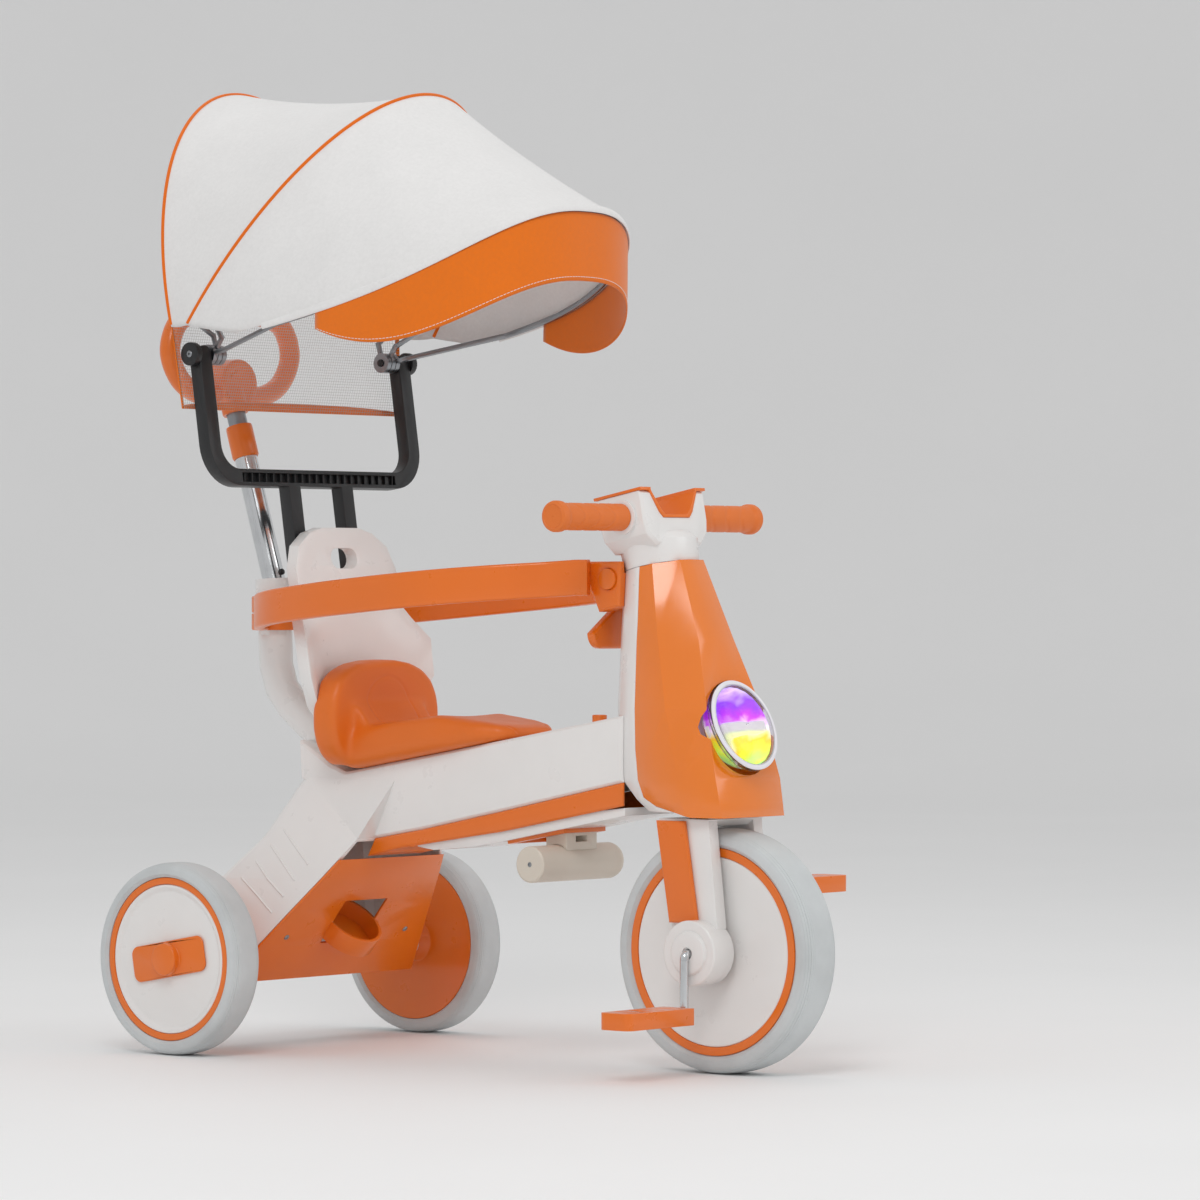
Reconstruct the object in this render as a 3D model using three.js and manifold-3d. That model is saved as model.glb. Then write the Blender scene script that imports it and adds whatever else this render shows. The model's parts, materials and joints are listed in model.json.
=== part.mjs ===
// Children's push tricycle: moulded body, three wheels, guard rail, folding sun canopy and push handle.
// Millimetres. +X is forward, +Y is the rider's left, +Z is up, and the ground is z = 0.
// Everything is laid out from the middle of the wheelbase; the last lines centre the part on its own box.
import * as THREE from "three";
import { mergeVertices } from "three/addons/utils/BufferGeometryUtils.js";
import Module from "manifold-3d";

const wasm = await Module();
wasm.setup();

// ---- Driving dimensions ----
const GAP = 0.3; // between pieces that touch
const RUNNING_GAP = 0.5; // between pieces that move on each other
const WALL = 4; // moulded shells
const WHEELBASE = 586;
const FRONT_WHEEL_R = 125;
const FRONT_TYRE_WIDTH = 53;
const FRONT_RING_R = 106;
const FRONT_DISC_R = 97;
const REAR_WHEEL_R = 102;
const REAR_TYRE_WIDTH = 41;
const REAR_RING_R = 86.5;
const REAR_DISC_R = 79;
const REAR_TRACK = 390; // between the middles of the rear tyres
const AXLE_R = 5;
const CRANK_R = 4.5;
const CRANK_LENGTH = 62;
const PEDAL_Y = 130;
const PEDAL_SIZE = { x: 40, y: 104, z: 17 };
const RAKE = THREE.MathUtils.degToRad(10.8); // the steering axis leans back
const CROWN = new THREE.Vector3(258, 0, 257); // where the steering axis meets the fork crown
const HEAD_HEIGHT = 315.6; // from the crown along the steering axis to the handlebar
const NECK_R = 40;
const STEM_R = 10;
const GRIP_R = 14;
const GRIP_FLANGE_R = 16;
const HANDLEBAR_WIDTH = 328;
const HOUSING_HALF_WIDTH = 52;
const BEAM_HALF_WIDTH = 45;
const SEAT_HALF_WIDTH = 62;
const SEAT_BACK_WIDTH = 160;
const POST_R = 20;
const POST_TOP = new THREE.Vector3(-336, 0, 500);
const POLE_LEAN = THREE.MathUtils.degToRad(17.4);
const POLE_R = 12.5;
const POLE_INNER_R = 10.5;
const POLE_LENGTH = 160; // the chrome tube above the collar
const HANDLE_WIDTH = 214;
const HANDLE_TUBE_R = 11.5;
const RAIL_HEIGHT = 37;
const RAIL_THICKNESS = 12;
const BRACKET_LEAN = THREE.MathUtils.degToRad(8.6);
const BRACKET_FOOT = new THREE.Vector3(-268, 0, 558);
const BRACKET_HALF_WIDTH = 168;
const BRACKET_BAR = 18;
const PIVOT_HEIGHT = 188; // from the bracket's foot to the canopy pivots
const BOW_R = 3;
const FABRIC = 2.4;
const ROLLER_R = 19;
const ROLLER_WIDTH = 136;
const WHEEL_SEGMENTS = 26;

const REAR_AXLE = new THREE.Vector3(-WHEELBASE / 2, 0, REAR_WHEEL_R);
const FRONT_AXLE = new THREE.Vector3(WHEELBASE / 2, 0, FRONT_WHEEL_R);

// ---- Finishes ----
const finish = (color, roughness, metalness = 0) => new THREE.MeshStandardMaterial({ color, roughness, metalness });
const WHITE = finish(0xf1efec, 0.35);
const ORANGE = finish(0xf2780f, 0.35);
const CREAM = finish(0xe9e1d2, 0.5);
const TYRE = finish(0xc9cfd0, 0.75);
const CHROME = finish(0xc8cace, 0.12, 1);
const STEEL = finish(0x8f9296, 0.35, 1);
const BLACK = finish(0x16171a, 0.45);
const CLEAR = finish(0xe6e6f4, 0.05);
const CLOTH = finish(0xf2f1ef, 0.9);
const ORANGE_CLOTH = finish(0xf0760e, 0.85);
const NET = finish(0xf4f4f2, 0.9);

// ---- Making and joining solids ----
function solid(geometry) {
  const bare = geometry.clone();
  bare.deleteAttribute("normal");
  bare.deleteAttribute("uv");
  const merged = mergeVertices(bare, 1e-4);
  const triVerts = new Uint32Array(merged.index.array);
  const build = () =>
    new wasm.Manifold(new wasm.Mesh({ numProp: 3, vertProperties: merged.attributes.position.array, triVerts }));
  const made = build();
  if (made.volume() >= 0) return made;
  for (let i = 0; i < triVerts.length; i += 3) {
    [triVerts[i + 1], triVerts[i + 2]] = [triVerts[i + 2], triVerts[i + 1]];
  }
  return build();
}

function geometryOf(manifold) {
  const mesh = manifold.getMesh();
  const positions = new Float32Array(mesh.numVert * 3);
  for (let i = 0; i < mesh.numVert; i += 1) {
    for (let k = 0; k < 3; k += 1) positions[3 * i + k] = mesh.vertProperties[i * mesh.numProp + k];
  }
  const geometry = new THREE.BufferGeometry();
  geometry.setAttribute("position", new THREE.BufferAttribute(positions, 3));
  geometry.setIndex(new THREE.BufferAttribute(new Uint32Array(mesh.triVerts), 1));
  geometry.computeVertexNormals();
  return geometry;
}

const tricycle = new THREE.Group();
const assembly = new THREE.Group();
tricycle.add(assembly);

function add(name, shape, material, parent = assembly) {
  const mesh = new THREE.Mesh(geometryOf(shape), material);
  mesh.name = name;
  parent.add(mesh);
}

// A leaning frame whose local z runs up the lean; positive lean tips the top back.
function leaningGroup(origin, lean) {
  const group = new THREE.Group();
  group.position.copy(origin);
  group.rotation.y = -lean;
  assembly.add(group);
  return group;
}

const join = (first, ...rest) => rest.reduce((whole, piece) => whole.add(piece), first);
const cut = (first, ...rest) => rest.reduce((whole, piece) => whole.subtract(piece), first);
const mirrorY = (shape) => shape.mirror([0, 1, 0]);

function block(x0, x1, y0, y1, z0, z1) {
  const box = new THREE.BoxGeometry(x1 - x0, y1 - y0, z1 - z0);
  return solid(box.translate((x0 + x1) / 2, (y0 + y1) / 2, (z0 + z1) / 2));
}

function rod(from, to, radius, sides = 16, endRadius = radius) {
  const along = to.clone().sub(from);
  const bar = new THREE.CylinderGeometry(endRadius, radius, along.length(), sides);
  bar.applyQuaternion(new THREE.Quaternion().setFromUnitVectors(new THREE.Vector3(0, 1, 0), along.normalize()));
  const middle = from.clone().add(to).multiplyScalar(0.5);
  return solid(bar.translate(middle.x, middle.y, middle.z));
}

const rodY = (x, z, y0, y1, radius, sides = 24) =>
  rod(new THREE.Vector3(x, y0, z), new THREE.Vector3(x, y1, z), radius, sides);

// A ring or disc turned about the Y axis through (x, z). The profile is a closed list of [radius, y].
function turnedY(profile, x, z, segments = WHEEL_SEGMENTS) {
  const points = [...profile, profile[0]].map(([r, y]) => new THREE.Vector2(Math.max(r, 0), y));
  return solid(new THREE.LatheGeometry(points, segments).translate(x, 0, z));
}

function shapeOf(points) {
  return new THREE.Shape(points.map(([a, b]) => new THREE.Vector2(a, b)));
}

// An outline of [x, z] points, or a Shape, carried across from y0 to y1.
function sideSlab(outline, y0, y1, bevel = 0) {
  const shape = Array.isArray(outline) ? shapeOf(outline) : outline;
  const slab = new THREE.ExtrudeGeometry(shape, {
    depth: y1 - y0 - 2 * bevel,
    bevelEnabled: bevel > 0,
    bevelThickness: bevel,
    bevelSize: bevel,
    bevelOffset: -bevel,
    bevelSegments: 1,
    curveSegments: 5,
  });
  return solid(slab.rotateX(Math.PI / 2).translate(0, y1 - bevel, 0));
}

// An outline of [y, z] points, or a Shape, carried forward from x0 to x1.
function frontSlab(outline, x0, x1, bevel = 0) {
  const shape = Array.isArray(outline) ? shapeOf(outline) : outline;
  const slab = new THREE.ExtrudeGeometry(shape, {
    depth: x1 - x0 - 2 * bevel,
    bevelEnabled: bevel > 0,
    bevelThickness: bevel,
    bevelSize: bevel,
    bevelOffset: -bevel,
    bevelSegments: 1,
    curveSegments: 5,
  });
  return solid(slab.rotateX(Math.PI / 2).rotateZ(Math.PI / 2).translate(x0 + bevel, 0, 0));
}

// A body through closed rings of points, with a flat end at each end ring.
function loft(rings) {
  const count = rings[0].length;
  const positions = rings.flat().flatMap((p) => [p.x, p.y, p.z]);
  const index = [];
  for (let r = 0; r + 1 < rings.length; r += 1) {
    for (let i = 0; i < count; i += 1) {
      const j = (i + 1) % count;
      const a = r * count + i;
      const b = r * count + j;
      index.push(a, b, b + count, a, b + count, a + count);
    }
  }
  const ends = [
    [0, -1],
    [rings.length - 1, 1],
  ];
  for (const [ring, side] of ends) {
    const middle = rings[ring].reduce((sum, p) => sum.add(p), new THREE.Vector3()).divideScalar(count);
    const hub = positions.length / 3;
    positions.push(middle.x, middle.y, middle.z);
    for (let i = 0; i < count; i += 1) {
      const a = ring * count + i;
      const b = ring * count + ((i + 1) % count);
      index.push(...(side < 0 ? [hub, b, a] : [hub, a, b]));
    }
  }
  const geometry = new THREE.BufferGeometry();
  geometry.setAttribute("position", new THREE.Float32BufferAttribute(positions, 3));
  geometry.setIndex(index);
  return solid(geometry);
}

// A round tube along a smooth curve through the points.
function tube(points, radius, steps, sides = 10, closed = false) {
  const path = new THREE.CatmullRomCurve3(points, closed, "centripetal");
  const section = new THREE.Shape();
  section.absarc(0, 0, radius, 0, 2 * Math.PI);
  const bar = new THREE.ExtrudeGeometry(section, { extrudePath: path, steps, curveSegments: sides / 2 });
  return solid(bar);
}

// ---- Wheels ----
// Profiles are measured outward from the wheel's middle plane: [radius, across].
function tyreProfile(outer, width, seat) {
  const half = width / 2;
  const shoulder = outer - 4;
  return [
    [seat, -0.82 * half],
    [shoulder - 5, -half],
    [shoulder, -0.86 * half],
    [outer, -0.5 * half],
    [outer, 0.5 * half],
    [shoulder, 0.86 * half],
    [shoulder - 5, half],
    [seat, 0.82 * half],
  ];
}

function frontWheel() {
  const { x, z } = FRONT_AXLE;
  const seat = FRONT_RING_R + GAP;
  const half = FRONT_TYRE_WIDTH / 2;
  const discFace = half - 3;
  const hubR = 16;
  add("front_tyre", turnedY(tyreProfile(FRONT_WHEEL_R, FRONT_TYRE_WIDTH, seat), x, z), TYRE);
  const rim = turnedY(
    [
      [CRANK_R + GAP, -discFace],
      [hubR, -discFace],
      [hubR, -4],
      [FRONT_RING_R - 10, -4],
      [FRONT_DISC_R + GAP, -discFace - 1],
      [FRONT_RING_R, -discFace - 1],
      [FRONT_RING_R, discFace + 1],
      [FRONT_DISC_R + GAP, discFace + 1],
      [FRONT_RING_R - 10, 4],
      [hubR, 4],
      [hubR, discFace],
      [CRANK_R + GAP, discFace],
    ],
    x,
    z,
  );
  add("front_rim", rim, ORANGE);
  const disc = turnedY(
    [
      [hubR + GAP, discFace - 7],
      [FRONT_DISC_R - 12, discFace - 4],
      [FRONT_DISC_R, discFace - 3],
      [FRONT_DISC_R, discFace],
      [FRONT_DISC_R - 14, discFace - 1],
      [hubR + GAP, discFace - 4],
    ],
    x,
    z,
  );
  add("front_disc_left", disc, WHITE);
  add("front_disc_right", mirrorY(disc), WHITE);
}

// The rod runs through the hub and bends to a pedal pin at each side, one down and one up.
const FORK_END_Y = 60; // outer face of the fork ends
const CRANK_ARM_Y = FORK_END_Y + 9;
const PEDAL_INNER_Y = PEDAL_Y - PEDAL_SIZE.y / 2;

function cranks() {
  const { x, z } = FRONT_AXLE;
  const side = (sign) => {
    const arm = new THREE.Vector3(x, sign * CRANK_ARM_Y, z);
    const foot = new THREE.Vector3(x, sign * CRANK_ARM_Y, z + sign * CRANK_LENGTH);
    const pin = new THREE.Vector3(x, sign * (PEDAL_Y + 30), z + sign * CRANK_LENGTH);
    const knuckle = (p) => solid(new THREE.SphereGeometry(CRANK_R, 12, 8).translate(p.x, p.y, p.z));
    return join(rod(arm, foot, CRANK_R, 12), rod(foot, pin, CRANK_R, 12), knuckle(arm), knuckle(foot));
  };
  const axle = rodY(x, z, -CRANK_ARM_Y, CRANK_ARM_Y, CRANK_R, 12);
  add("pedal_crank", join(axle, side(-1), side(1)), CHROME);
}

function pedal(name, sign) {
  const { x } = FRONT_AXLE;
  const z = FRONT_AXLE.z + sign * CRANK_LENGTH;
  const half = { x: PEDAL_SIZE.x / 2, y: PEDAL_SIZE.y / 2, z: PEDAL_SIZE.z / 2 };
  const corner = 9;
  const plan = new THREE.Shape();
  plan.moveTo(-half.x, -half.y);
  plan.lineTo(half.x, -half.y);
  plan.lineTo(half.x, half.y - corner);
  plan.absarc(half.x - corner, half.y - corner, corner, 0, Math.PI / 2);
  plan.absarc(-half.x + corner, half.y - corner, corner, Math.PI / 2, Math.PI);
  const body = new THREE.ExtrudeGeometry(plan, { depth: PEDAL_SIZE.z, bevelEnabled: false, curveSegments: 4 });
  let tread = solid(body.translate(x, PEDAL_Y, FRONT_AXLE.z - CRANK_LENGTH - half.z));
  const pitch = PEDAL_SIZE.y / 5;
  for (let i = 1; i < 5; i += 1) {
    const y = PEDAL_INNER_Y + i * pitch;
    for (const face of [-1, 1]) {
      const centre = FRONT_AXLE.z - CRANK_LENGTH + face * half.z;
      tread = cut(tread, block(x - half.x + 5, x + half.x - 5, y - 1.5, y + 1.5, centre - 2, centre + 2));
    }
  }
  const bore = rodY(x, FRONT_AXLE.z - CRANK_LENGTH, PEDAL_INNER_Y - 1, PEDAL_Y + 31, CRANK_R + RUNNING_GAP, 16);
  const right = mirrorY(cut(tread, bore));
  const placed = sign < 0 ? right : mirrorY(right).translate([0, 0, z - (FRONT_AXLE.z - CRANK_LENGTH)]);
  add(name, placed, ORANGE);
}

// Rear wheels: outward is +y on the left wheel, and the right wheel is its mirror image.
const REAR_HALF = REAR_TYRE_WIDTH / 2;
const REAR_DISC_FACE = REAR_HALF - 4;
const REAR_HUB_R = 22;
const REAR_HUB_INNER = -REAR_HALF - 4; // the hub stands proud of the tyre on the inner side

function rearWheel(side, sign) {
  const { x, z } = REAR_AXLE;
  const seat = REAR_RING_R + GAP;
  const place = (shape) => {
    const left = shape.translate([0, REAR_TRACK / 2, 0]);
    return sign > 0 ? left : mirrorY(left);
  };
  const bore = AXLE_R + RUNNING_GAP;
  const rim = turnedY(
    [
      [bore, REAR_HUB_INNER],
      [REAR_HUB_R - 8, REAR_HUB_INNER],
      [REAR_HUB_R, -REAR_HALF + 9],
      [REAR_RING_R - 14, -REAR_HALF + 4],
      [REAR_RING_R, -REAR_HALF + 2],
      [REAR_RING_R, REAR_DISC_FACE + 1],
      [REAR_DISC_R + GAP, REAR_DISC_FACE + 1],
      [REAR_DISC_R - 1, -REAR_HALF + 10],
      [REAR_HUB_R, -REAR_HALF + 13],
      [REAR_HUB_R - 8, 4],
      [bore, 4],
    ],
    x,
    z,
  );
  const disc = turnedY(
    [
      [AXLE_R + 6, REAR_DISC_FACE - 7],
      [REAR_DISC_R - 8, REAR_DISC_FACE - 7],
      [REAR_DISC_R, REAR_DISC_FACE - 3],
      [REAR_DISC_R, REAR_DISC_FACE],
      [REAR_DISC_R - 7, REAR_DISC_FACE - 3],
      [AXLE_R + 6, REAR_DISC_FACE - 3],
    ],
    x,
    z,
  );
  add("rear_tyre_" + side, place(turnedY(tyreProfile(REAR_WHEEL_R, REAR_TYRE_WIDTH, seat), x, z)), TYRE);
  add("rear_rim_" + side, place(rim), ORANGE);
  add("rear_disc_" + side, place(disc), WHITE);
  add("rear_cap_" + side, place(rearCap()), ORANGE);
}

const CAP_LENGTH = 105;
const CAP_HEIGHT = 38;
const CAP_TURN = THREE.MathUtils.degToRad(10);

function rearCap() {
  const { x, z } = REAR_AXLE;
  const corner = 9;
  const a = CAP_LENGTH / 2 - corner;
  const b = CAP_HEIGHT / 2 - corner;
  const plate = new THREE.Shape();
  plate.absarc(a, -b, corner, -Math.PI / 2, 0);
  plate.absarc(a, b, corner, 0, Math.PI / 2);
  plate.absarc(-a, b, corner, Math.PI / 2, Math.PI);
  plate.absarc(-a, -b, corner, Math.PI, 1.5 * Math.PI);
  const seat = REAR_DISC_FACE - 3 + GAP;
  const slab = new THREE.ExtrudeGeometry(plate, { depth: 3, bevelEnabled: false, curveSegments: 5 });
  const turned = solid(slab.rotateZ(CAP_TURN).rotateX(Math.PI / 2).translate(x, seat + 3, z));
  const boss = rodY(x, z, seat + 1, seat + 11, CAP_HEIGHT / 2 - 2, 24);
  return join(turned, boss);
}

// ---- Fork and steering stem ----
const LEG_INNER_Y = FRONT_TYRE_WIDTH / 2 + 3;
const LEG_OUTER_Y = 44;
const FORK_END_R = 33;
const CROWN_TOP = 260;

function fork() {
  const { x, z } = FRONT_AXLE;
  const legOutline = [
    [240, CROWN_TOP],
    [304, CROWN_TOP],
    [x + 23, z + 26],
    [x + 16, z],
    [x - 16, z],
    [x - 36, z + 26],
  ];
  const leg = sideSlab(legOutline, LEG_INNER_Y, LEG_OUTER_Y);
  const end = rodY(x, z, LEG_INNER_Y, FORK_END_Y, FORK_END_R, 24);
  const step = rodY(x, z, FORK_END_Y - 1, FORK_END_Y + 3, 21, 20);
  const side = join(leg, end, step);
  const crownBase = FRONT_WHEEL_R * 2 + 3;
  const crownOutline = [
    [240, CROWN_TOP],
    [306, CROWN_TOP],
    [298, crownBase],
    [240, crownBase],
  ];
  const crown = sideSlab(crownOutline, -LEG_OUTER_Y, LEG_OUTER_Y);
  const bore = rodY(x, z, -FORK_END_Y - 5, FORK_END_Y + 5, CRANK_R + RUNNING_GAP, 20);
  const up = new THREE.Vector3(-Math.sin(RAKE), 0, Math.cos(RAKE));
  const seat = rod(CROWN.clone().addScaledVector(up, -8), CROWN.clone().addScaledVector(up, 60), STEM_R + GAP, 20);
  add("fork", cut(join(crown, side, mirrorY(side)), bore, seat), WHITE);
  const coverOutline = [
    [240, CROWN_TOP - 2],
    [277, CROWN_TOP - 2],
    [x + 1, z + 29.5],
    [x - 36, z + 29.5],
  ];
  const cover = sideSlab(coverOutline, LEG_OUTER_Y + GAP, LEG_OUTER_Y + 6, 1.5);
  add("fork_cover_left", cut(cover, rodY(x, z, 40, 70, FORK_END_R + GAP, 24)), ORANGE);
  add("fork_cover_right", cut(mirrorY(cover), rodY(x, z, -70, -40, FORK_END_R + GAP, 24)), ORANGE);
}

// ---- Steering head, in its leaning frame: the origin is on the crown and z runs up the steering axis ----
const COLUMN_TOP = 264; // along the axis: where the fixed column stops
const BUSH_R = 15.5;
const STEM_TOP = HEAD_HEIGHT - 28;

function steeringHead() {
  const head = leaningGroup(CROWN, RAKE);
  const at = (x, y, z) => new THREE.Vector3(x, y, z);
  const stem = rod(at(0, 0, -5), at(0, 0, STEM_TOP), STEM_R, 20);
  add("steering_stem", stem, STEEL, head);
  for (const [name, base] of [["stem_bush_lower", 12], ["stem_bush_upper", COLUMN_TOP - 16]]) {
    const ring = cut(rod(at(0, 0, base), at(0, 0, base + 14), BUSH_R, 24), stemHole(base - 1, base + 16, RUNNING_GAP));
    add(name, ring, CREAM, head);
  }
  add("handlebar_tube", barTube(), STEEL, head);
  add("handlebar_housing", housing(), WHITE, head);
  add("tray_liner", trayLiner(), ORANGE, head);
  add("grip_left", grip(), ORANGE, head);
  add("grip_right", mirrorY(grip()), ORANGE, head);
}

function stemHole(from, to, clearance) {
  return rod(new THREE.Vector3(0, 0, from), new THREE.Vector3(0, 0, to), STEM_R + clearance, 20);
}

const BAR_R = 8;
const BAR_DIP = 16; // the handlebar tube dips under the tray
const BAR_FLAT = 24; // half the length of the dip's floor
const BAR_BEND = 50; // half the length of the whole dip

function barTube(grow = 0, reach = HANDLEBAR_WIDTH / 2 - 8) {
  const dip = [];
  for (let i = 0; i <= 12; i += 1) {
    const y = BAR_BEND * (i / 6 - 1);
    const rise = Math.max(0, (Math.abs(y) - BAR_FLAT) / (BAR_BEND - BAR_FLAT));
    dip.push(new THREE.Vector3(0, y, HEAD_HEIGHT - (BAR_DIP / 2) * (1 + Math.cos(Math.PI * rise))));
  }
  const arm = rodY(0, HEAD_HEIGHT, BAR_BEND - 1, reach, BAR_R + grow, 12);
  return join(tube(dip, BAR_R + grow, 12, 12), arm, mirrorY(arm));
}

const HOUSING_TOP = HEAD_HEIGHT + 23;
const TRAY_FLOOR = HEAD_HEIGHT - 2; // the bent tube passes under it
const TRAY_HALF_WIDTH = 24;
const LINER = 3;

// The inside of the open tray between the two horns, [y, z]; grow widens it all round.
function trayOutline(grow) {
  const half = TRAY_HALF_WIDTH + grow;
  const floor = TRAY_FLOOR - grow;
  const top = HOUSING_TOP + 30;
  const flare = 12;
  return [
    [-half - flare, top],
    [-half - flare, HOUSING_TOP],
    [-half, floor + 6],
    [-half + 6, floor],
    [half - 6, floor],
    [half, floor + 6],
    [half + flare, HOUSING_TOP],
    [half + flare, top],
  ];
}

function housing() {
  const w = HOUSING_HALF_WIDTH;
  const outline = [
    [-NECK_R + 4, COLUMN_TOP + 18],
    [NECK_R - 4, COLUMN_TOP + 18],
    [w - 3, COLUMN_TOP + 30],
    [w, COLUMN_TOP + 44],
    [w, HOUSING_TOP],
    [-w, HOUSING_TOP],
    [-w, COLUMN_TOP + 44],
    [-w + 3, COLUMN_TOP + 30],
  ];
  const shell = frontSlab(outline, -33, 28, 3);
  const neckProfile = [
    [0, COLUMN_TOP + RUNNING_GAP],
    [NECK_R - 1, COLUMN_TOP + RUNNING_GAP],
    [NECK_R + 1, COLUMN_TOP + 24],
    [NECK_R - 6, COLUMN_TOP + 32],
    [0, COLUMN_TOP + 32],
  ];
  const neckPoints = neckProfile.map(([r, z]) => new THREE.Vector2(r, z));
  const neck = solid(new THREE.LatheGeometry(neckPoints, 24).rotateX(Math.PI / 2));
  const collar = rodY(0, HEAD_HEIGHT, -w - 3, w + 3, GRIP_R + 4, 20);
  const bar = barTube(GAP, w + 9);
  const tray = frontSlab(trayOutline(LINER + GAP), -60, 60);
  return cut(join(shell, neck, cut(collar, tray)), tray, bar, stemHole(0, STEM_TOP + GAP, GAP));
}

function trayLiner() {
  const w = HOUSING_HALF_WIDTH;
  const cap = HOUSING_TOP + GAP;
  const plan = frontSlab(trayOutline(LINER), -34, 29);
  const flanges = frontSlab([[-w - 1, cap], [w + 1, cap], [w + 1, cap + LINER], [-w - 1, cap + LINER]], -34, 29);
  const top = block(-70, 70, -90, 90, cap + LINER, cap + 60);
  return cut(join(plan, flanges), top, frontSlab(trayOutline(0), -60, 60));
}

function grip() {
  const inner = HOUSING_HALF_WIDTH + 3 + GAP;
  const outer = HANDLEBAR_WIDTH / 2;
  const profile = [
    [BAR_R + GAP, inner],
    [GRIP_R, inner],
    [GRIP_R, outer - 14],
    [GRIP_FLANGE_R, outer - 10],
    [GRIP_FLANGE_R, outer - 3],
    [GRIP_FLANGE_R - 4, outer],
    [0, outer],
    [0, outer - 8 + GAP],
    [BAR_R + GAP, outer - 8 + GAP],
  ];
  return turnedY(profile, 0, HEAD_HEIGHT, 24);
}

// ---- Column: a white rear shell and an orange faceted shield round the steering stem ----
// Each level: height, then x and half width at the rear, haunch, side, crease and front of the plan section.
const COLUMN_LEVELS = [
  { z: 262, rear: [214, 22], haunch: [232, 41], side: [246, 46], crease: [284, 58], front: [328, 51] },
  { z: 278, rear: [193, 22], haunch: [208, 40], side: [224, 47], crease: [282, 60], front: [325, 52] },
  { z: 300, rear: [171, 22], haunch: [188, 41], side: [213, 47], crease: [277, 60], front: [321, 53] },
  { z: 372, rear: [168, 22], haunch: [186, 40], side: [206, 46], crease: [256, 54], front: [303, 45] },
  { z: 441, rear: [171, 21], haunch: [188, 38], side: [207, 43], crease: [240, 46], front: [280, 29] },
  { z: 545, rear: [175, 17], haunch: [188, 31], side: [208, 38], crease: [221, 35], front: [239, 17] },
];

function columnLoft(inset, zLift = 0) {
  const rings = COLUMN_LEVELS.map(({ z, rear, haunch, side, crease, front }) => {
    const half = [
      [rear[0] + inset, 0],
      [rear[0] + inset, rear[1] - inset * 0.4],
      [haunch[0] + inset * 0.7, haunch[1] - inset * 0.8],
      [side[0] + inset * 0.2, side[1] - inset],
      [crease[0], crease[1] - inset],
      [front[0] - inset, front[1] - inset * 0.6],
      [front[0] - inset + 2, 0],
    ];
    const other = half.slice(1, -1).reverse();
    const plan = [...half.map(([x, y]) => [x, -y]), ...other];
    return plan.map(([x, y]) => new THREE.Vector3(x, y, z + zLift * Math.sign(z - 400)));
  });
  return loft(rings);
}

const splitLine = (shift) => [
  [212 + shift, 560],
  [210 + shift, 508],
  [210 + shift, 380],
  [211 + shift, 330],
  [215 + shift, 298 + shift],
  [222 + shift, 281 + shift],
  [240 + shift, 272 + shift],
  [292 + shift, 262 + shift],
  [400, 262 + shift],
  [400, 560],
];

const COLUMN_FOOT = 266.5; // the white shell stops here, clear of the fork as it turns
const LAMP_LEAN = THREE.MathUtils.degToRad(22);
const LAMP = new THREE.Vector3(308, 0, 352);
const LAMP_R = 46;
const LAMP_DEPTH = 16;
const lampAxis = new THREE.Vector3(Math.cos(LAMP_LEAN), 0, Math.sin(LAMP_LEAN));
const lampPoint = (depth) => LAMP.clone().addScaledVector(lampAxis, depth);
const steeringUp = new THREE.Vector3(-Math.sin(RAKE), 0, Math.cos(RAKE));
const steeringPoint = (height) => CROWN.clone().addScaledVector(steeringUp, height);

function column() {
  const above = block(-120, 120, -90, 90, COLUMN_TOP, COLUMN_TOP + 120).rotate([0, -10.8, 0]);
  const top = above.translate([CROWN.x, CROWN.y, CROWN.z]);
  const outer = cut(columnLoft(0), top);
  const skin = cut(outer, columnLoft(WALL, 2));
  const front = sideSlab(splitLine(-GAP), -90, 90);
  const core = rod(steeringPoint(16), steeringPoint(COLUMN_TOP - 2), BUSH_R + 4, 24);
  const web = block(165, 262, -2, 2, 285, 505).intersect(cut(outer, core));
  const back = join(cut(skin, front), core, cut(web, sideSlab([[262, 285], [214, 505], [262, 505]], -5, 5)));
  const bores = rod(steeringPoint(0), steeringPoint(COLUMN_TOP + 4), STEM_R + 1.5, 20);
  const lowerSeat = rod(steeringPoint(-10), steeringPoint(26 + GAP), BUSH_R + GAP, 24);
  const upperSeat = rod(steeringPoint(COLUMN_TOP - 16 - GAP), steeringPoint(COLUMN_TOP + 20), BUSH_R + GAP, 24);
  const crownRoom = block(150, 300, -60, 60, 250, COLUMN_FOOT);
  add("column_shell", cut(back, bores, lowerSeat, upperSeat, crownRoom), WHITE);
  const pocket = rod(lampPoint(-LAMP_DEPTH - 2), lampPoint(40), LAMP_R + 3 + RUNNING_GAP, 36);
  const clearCore = rod(steeringPoint(-10), steeringPoint(COLUMN_TOP + 10), BUSH_R + 4 + GAP, 24);
  const shield = skin.intersect(sideSlab(splitLine(0), -90, 90));
  add("front_shield", cut(shield, pocket, clearCore), ORANGE);
  lamp();
}

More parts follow.
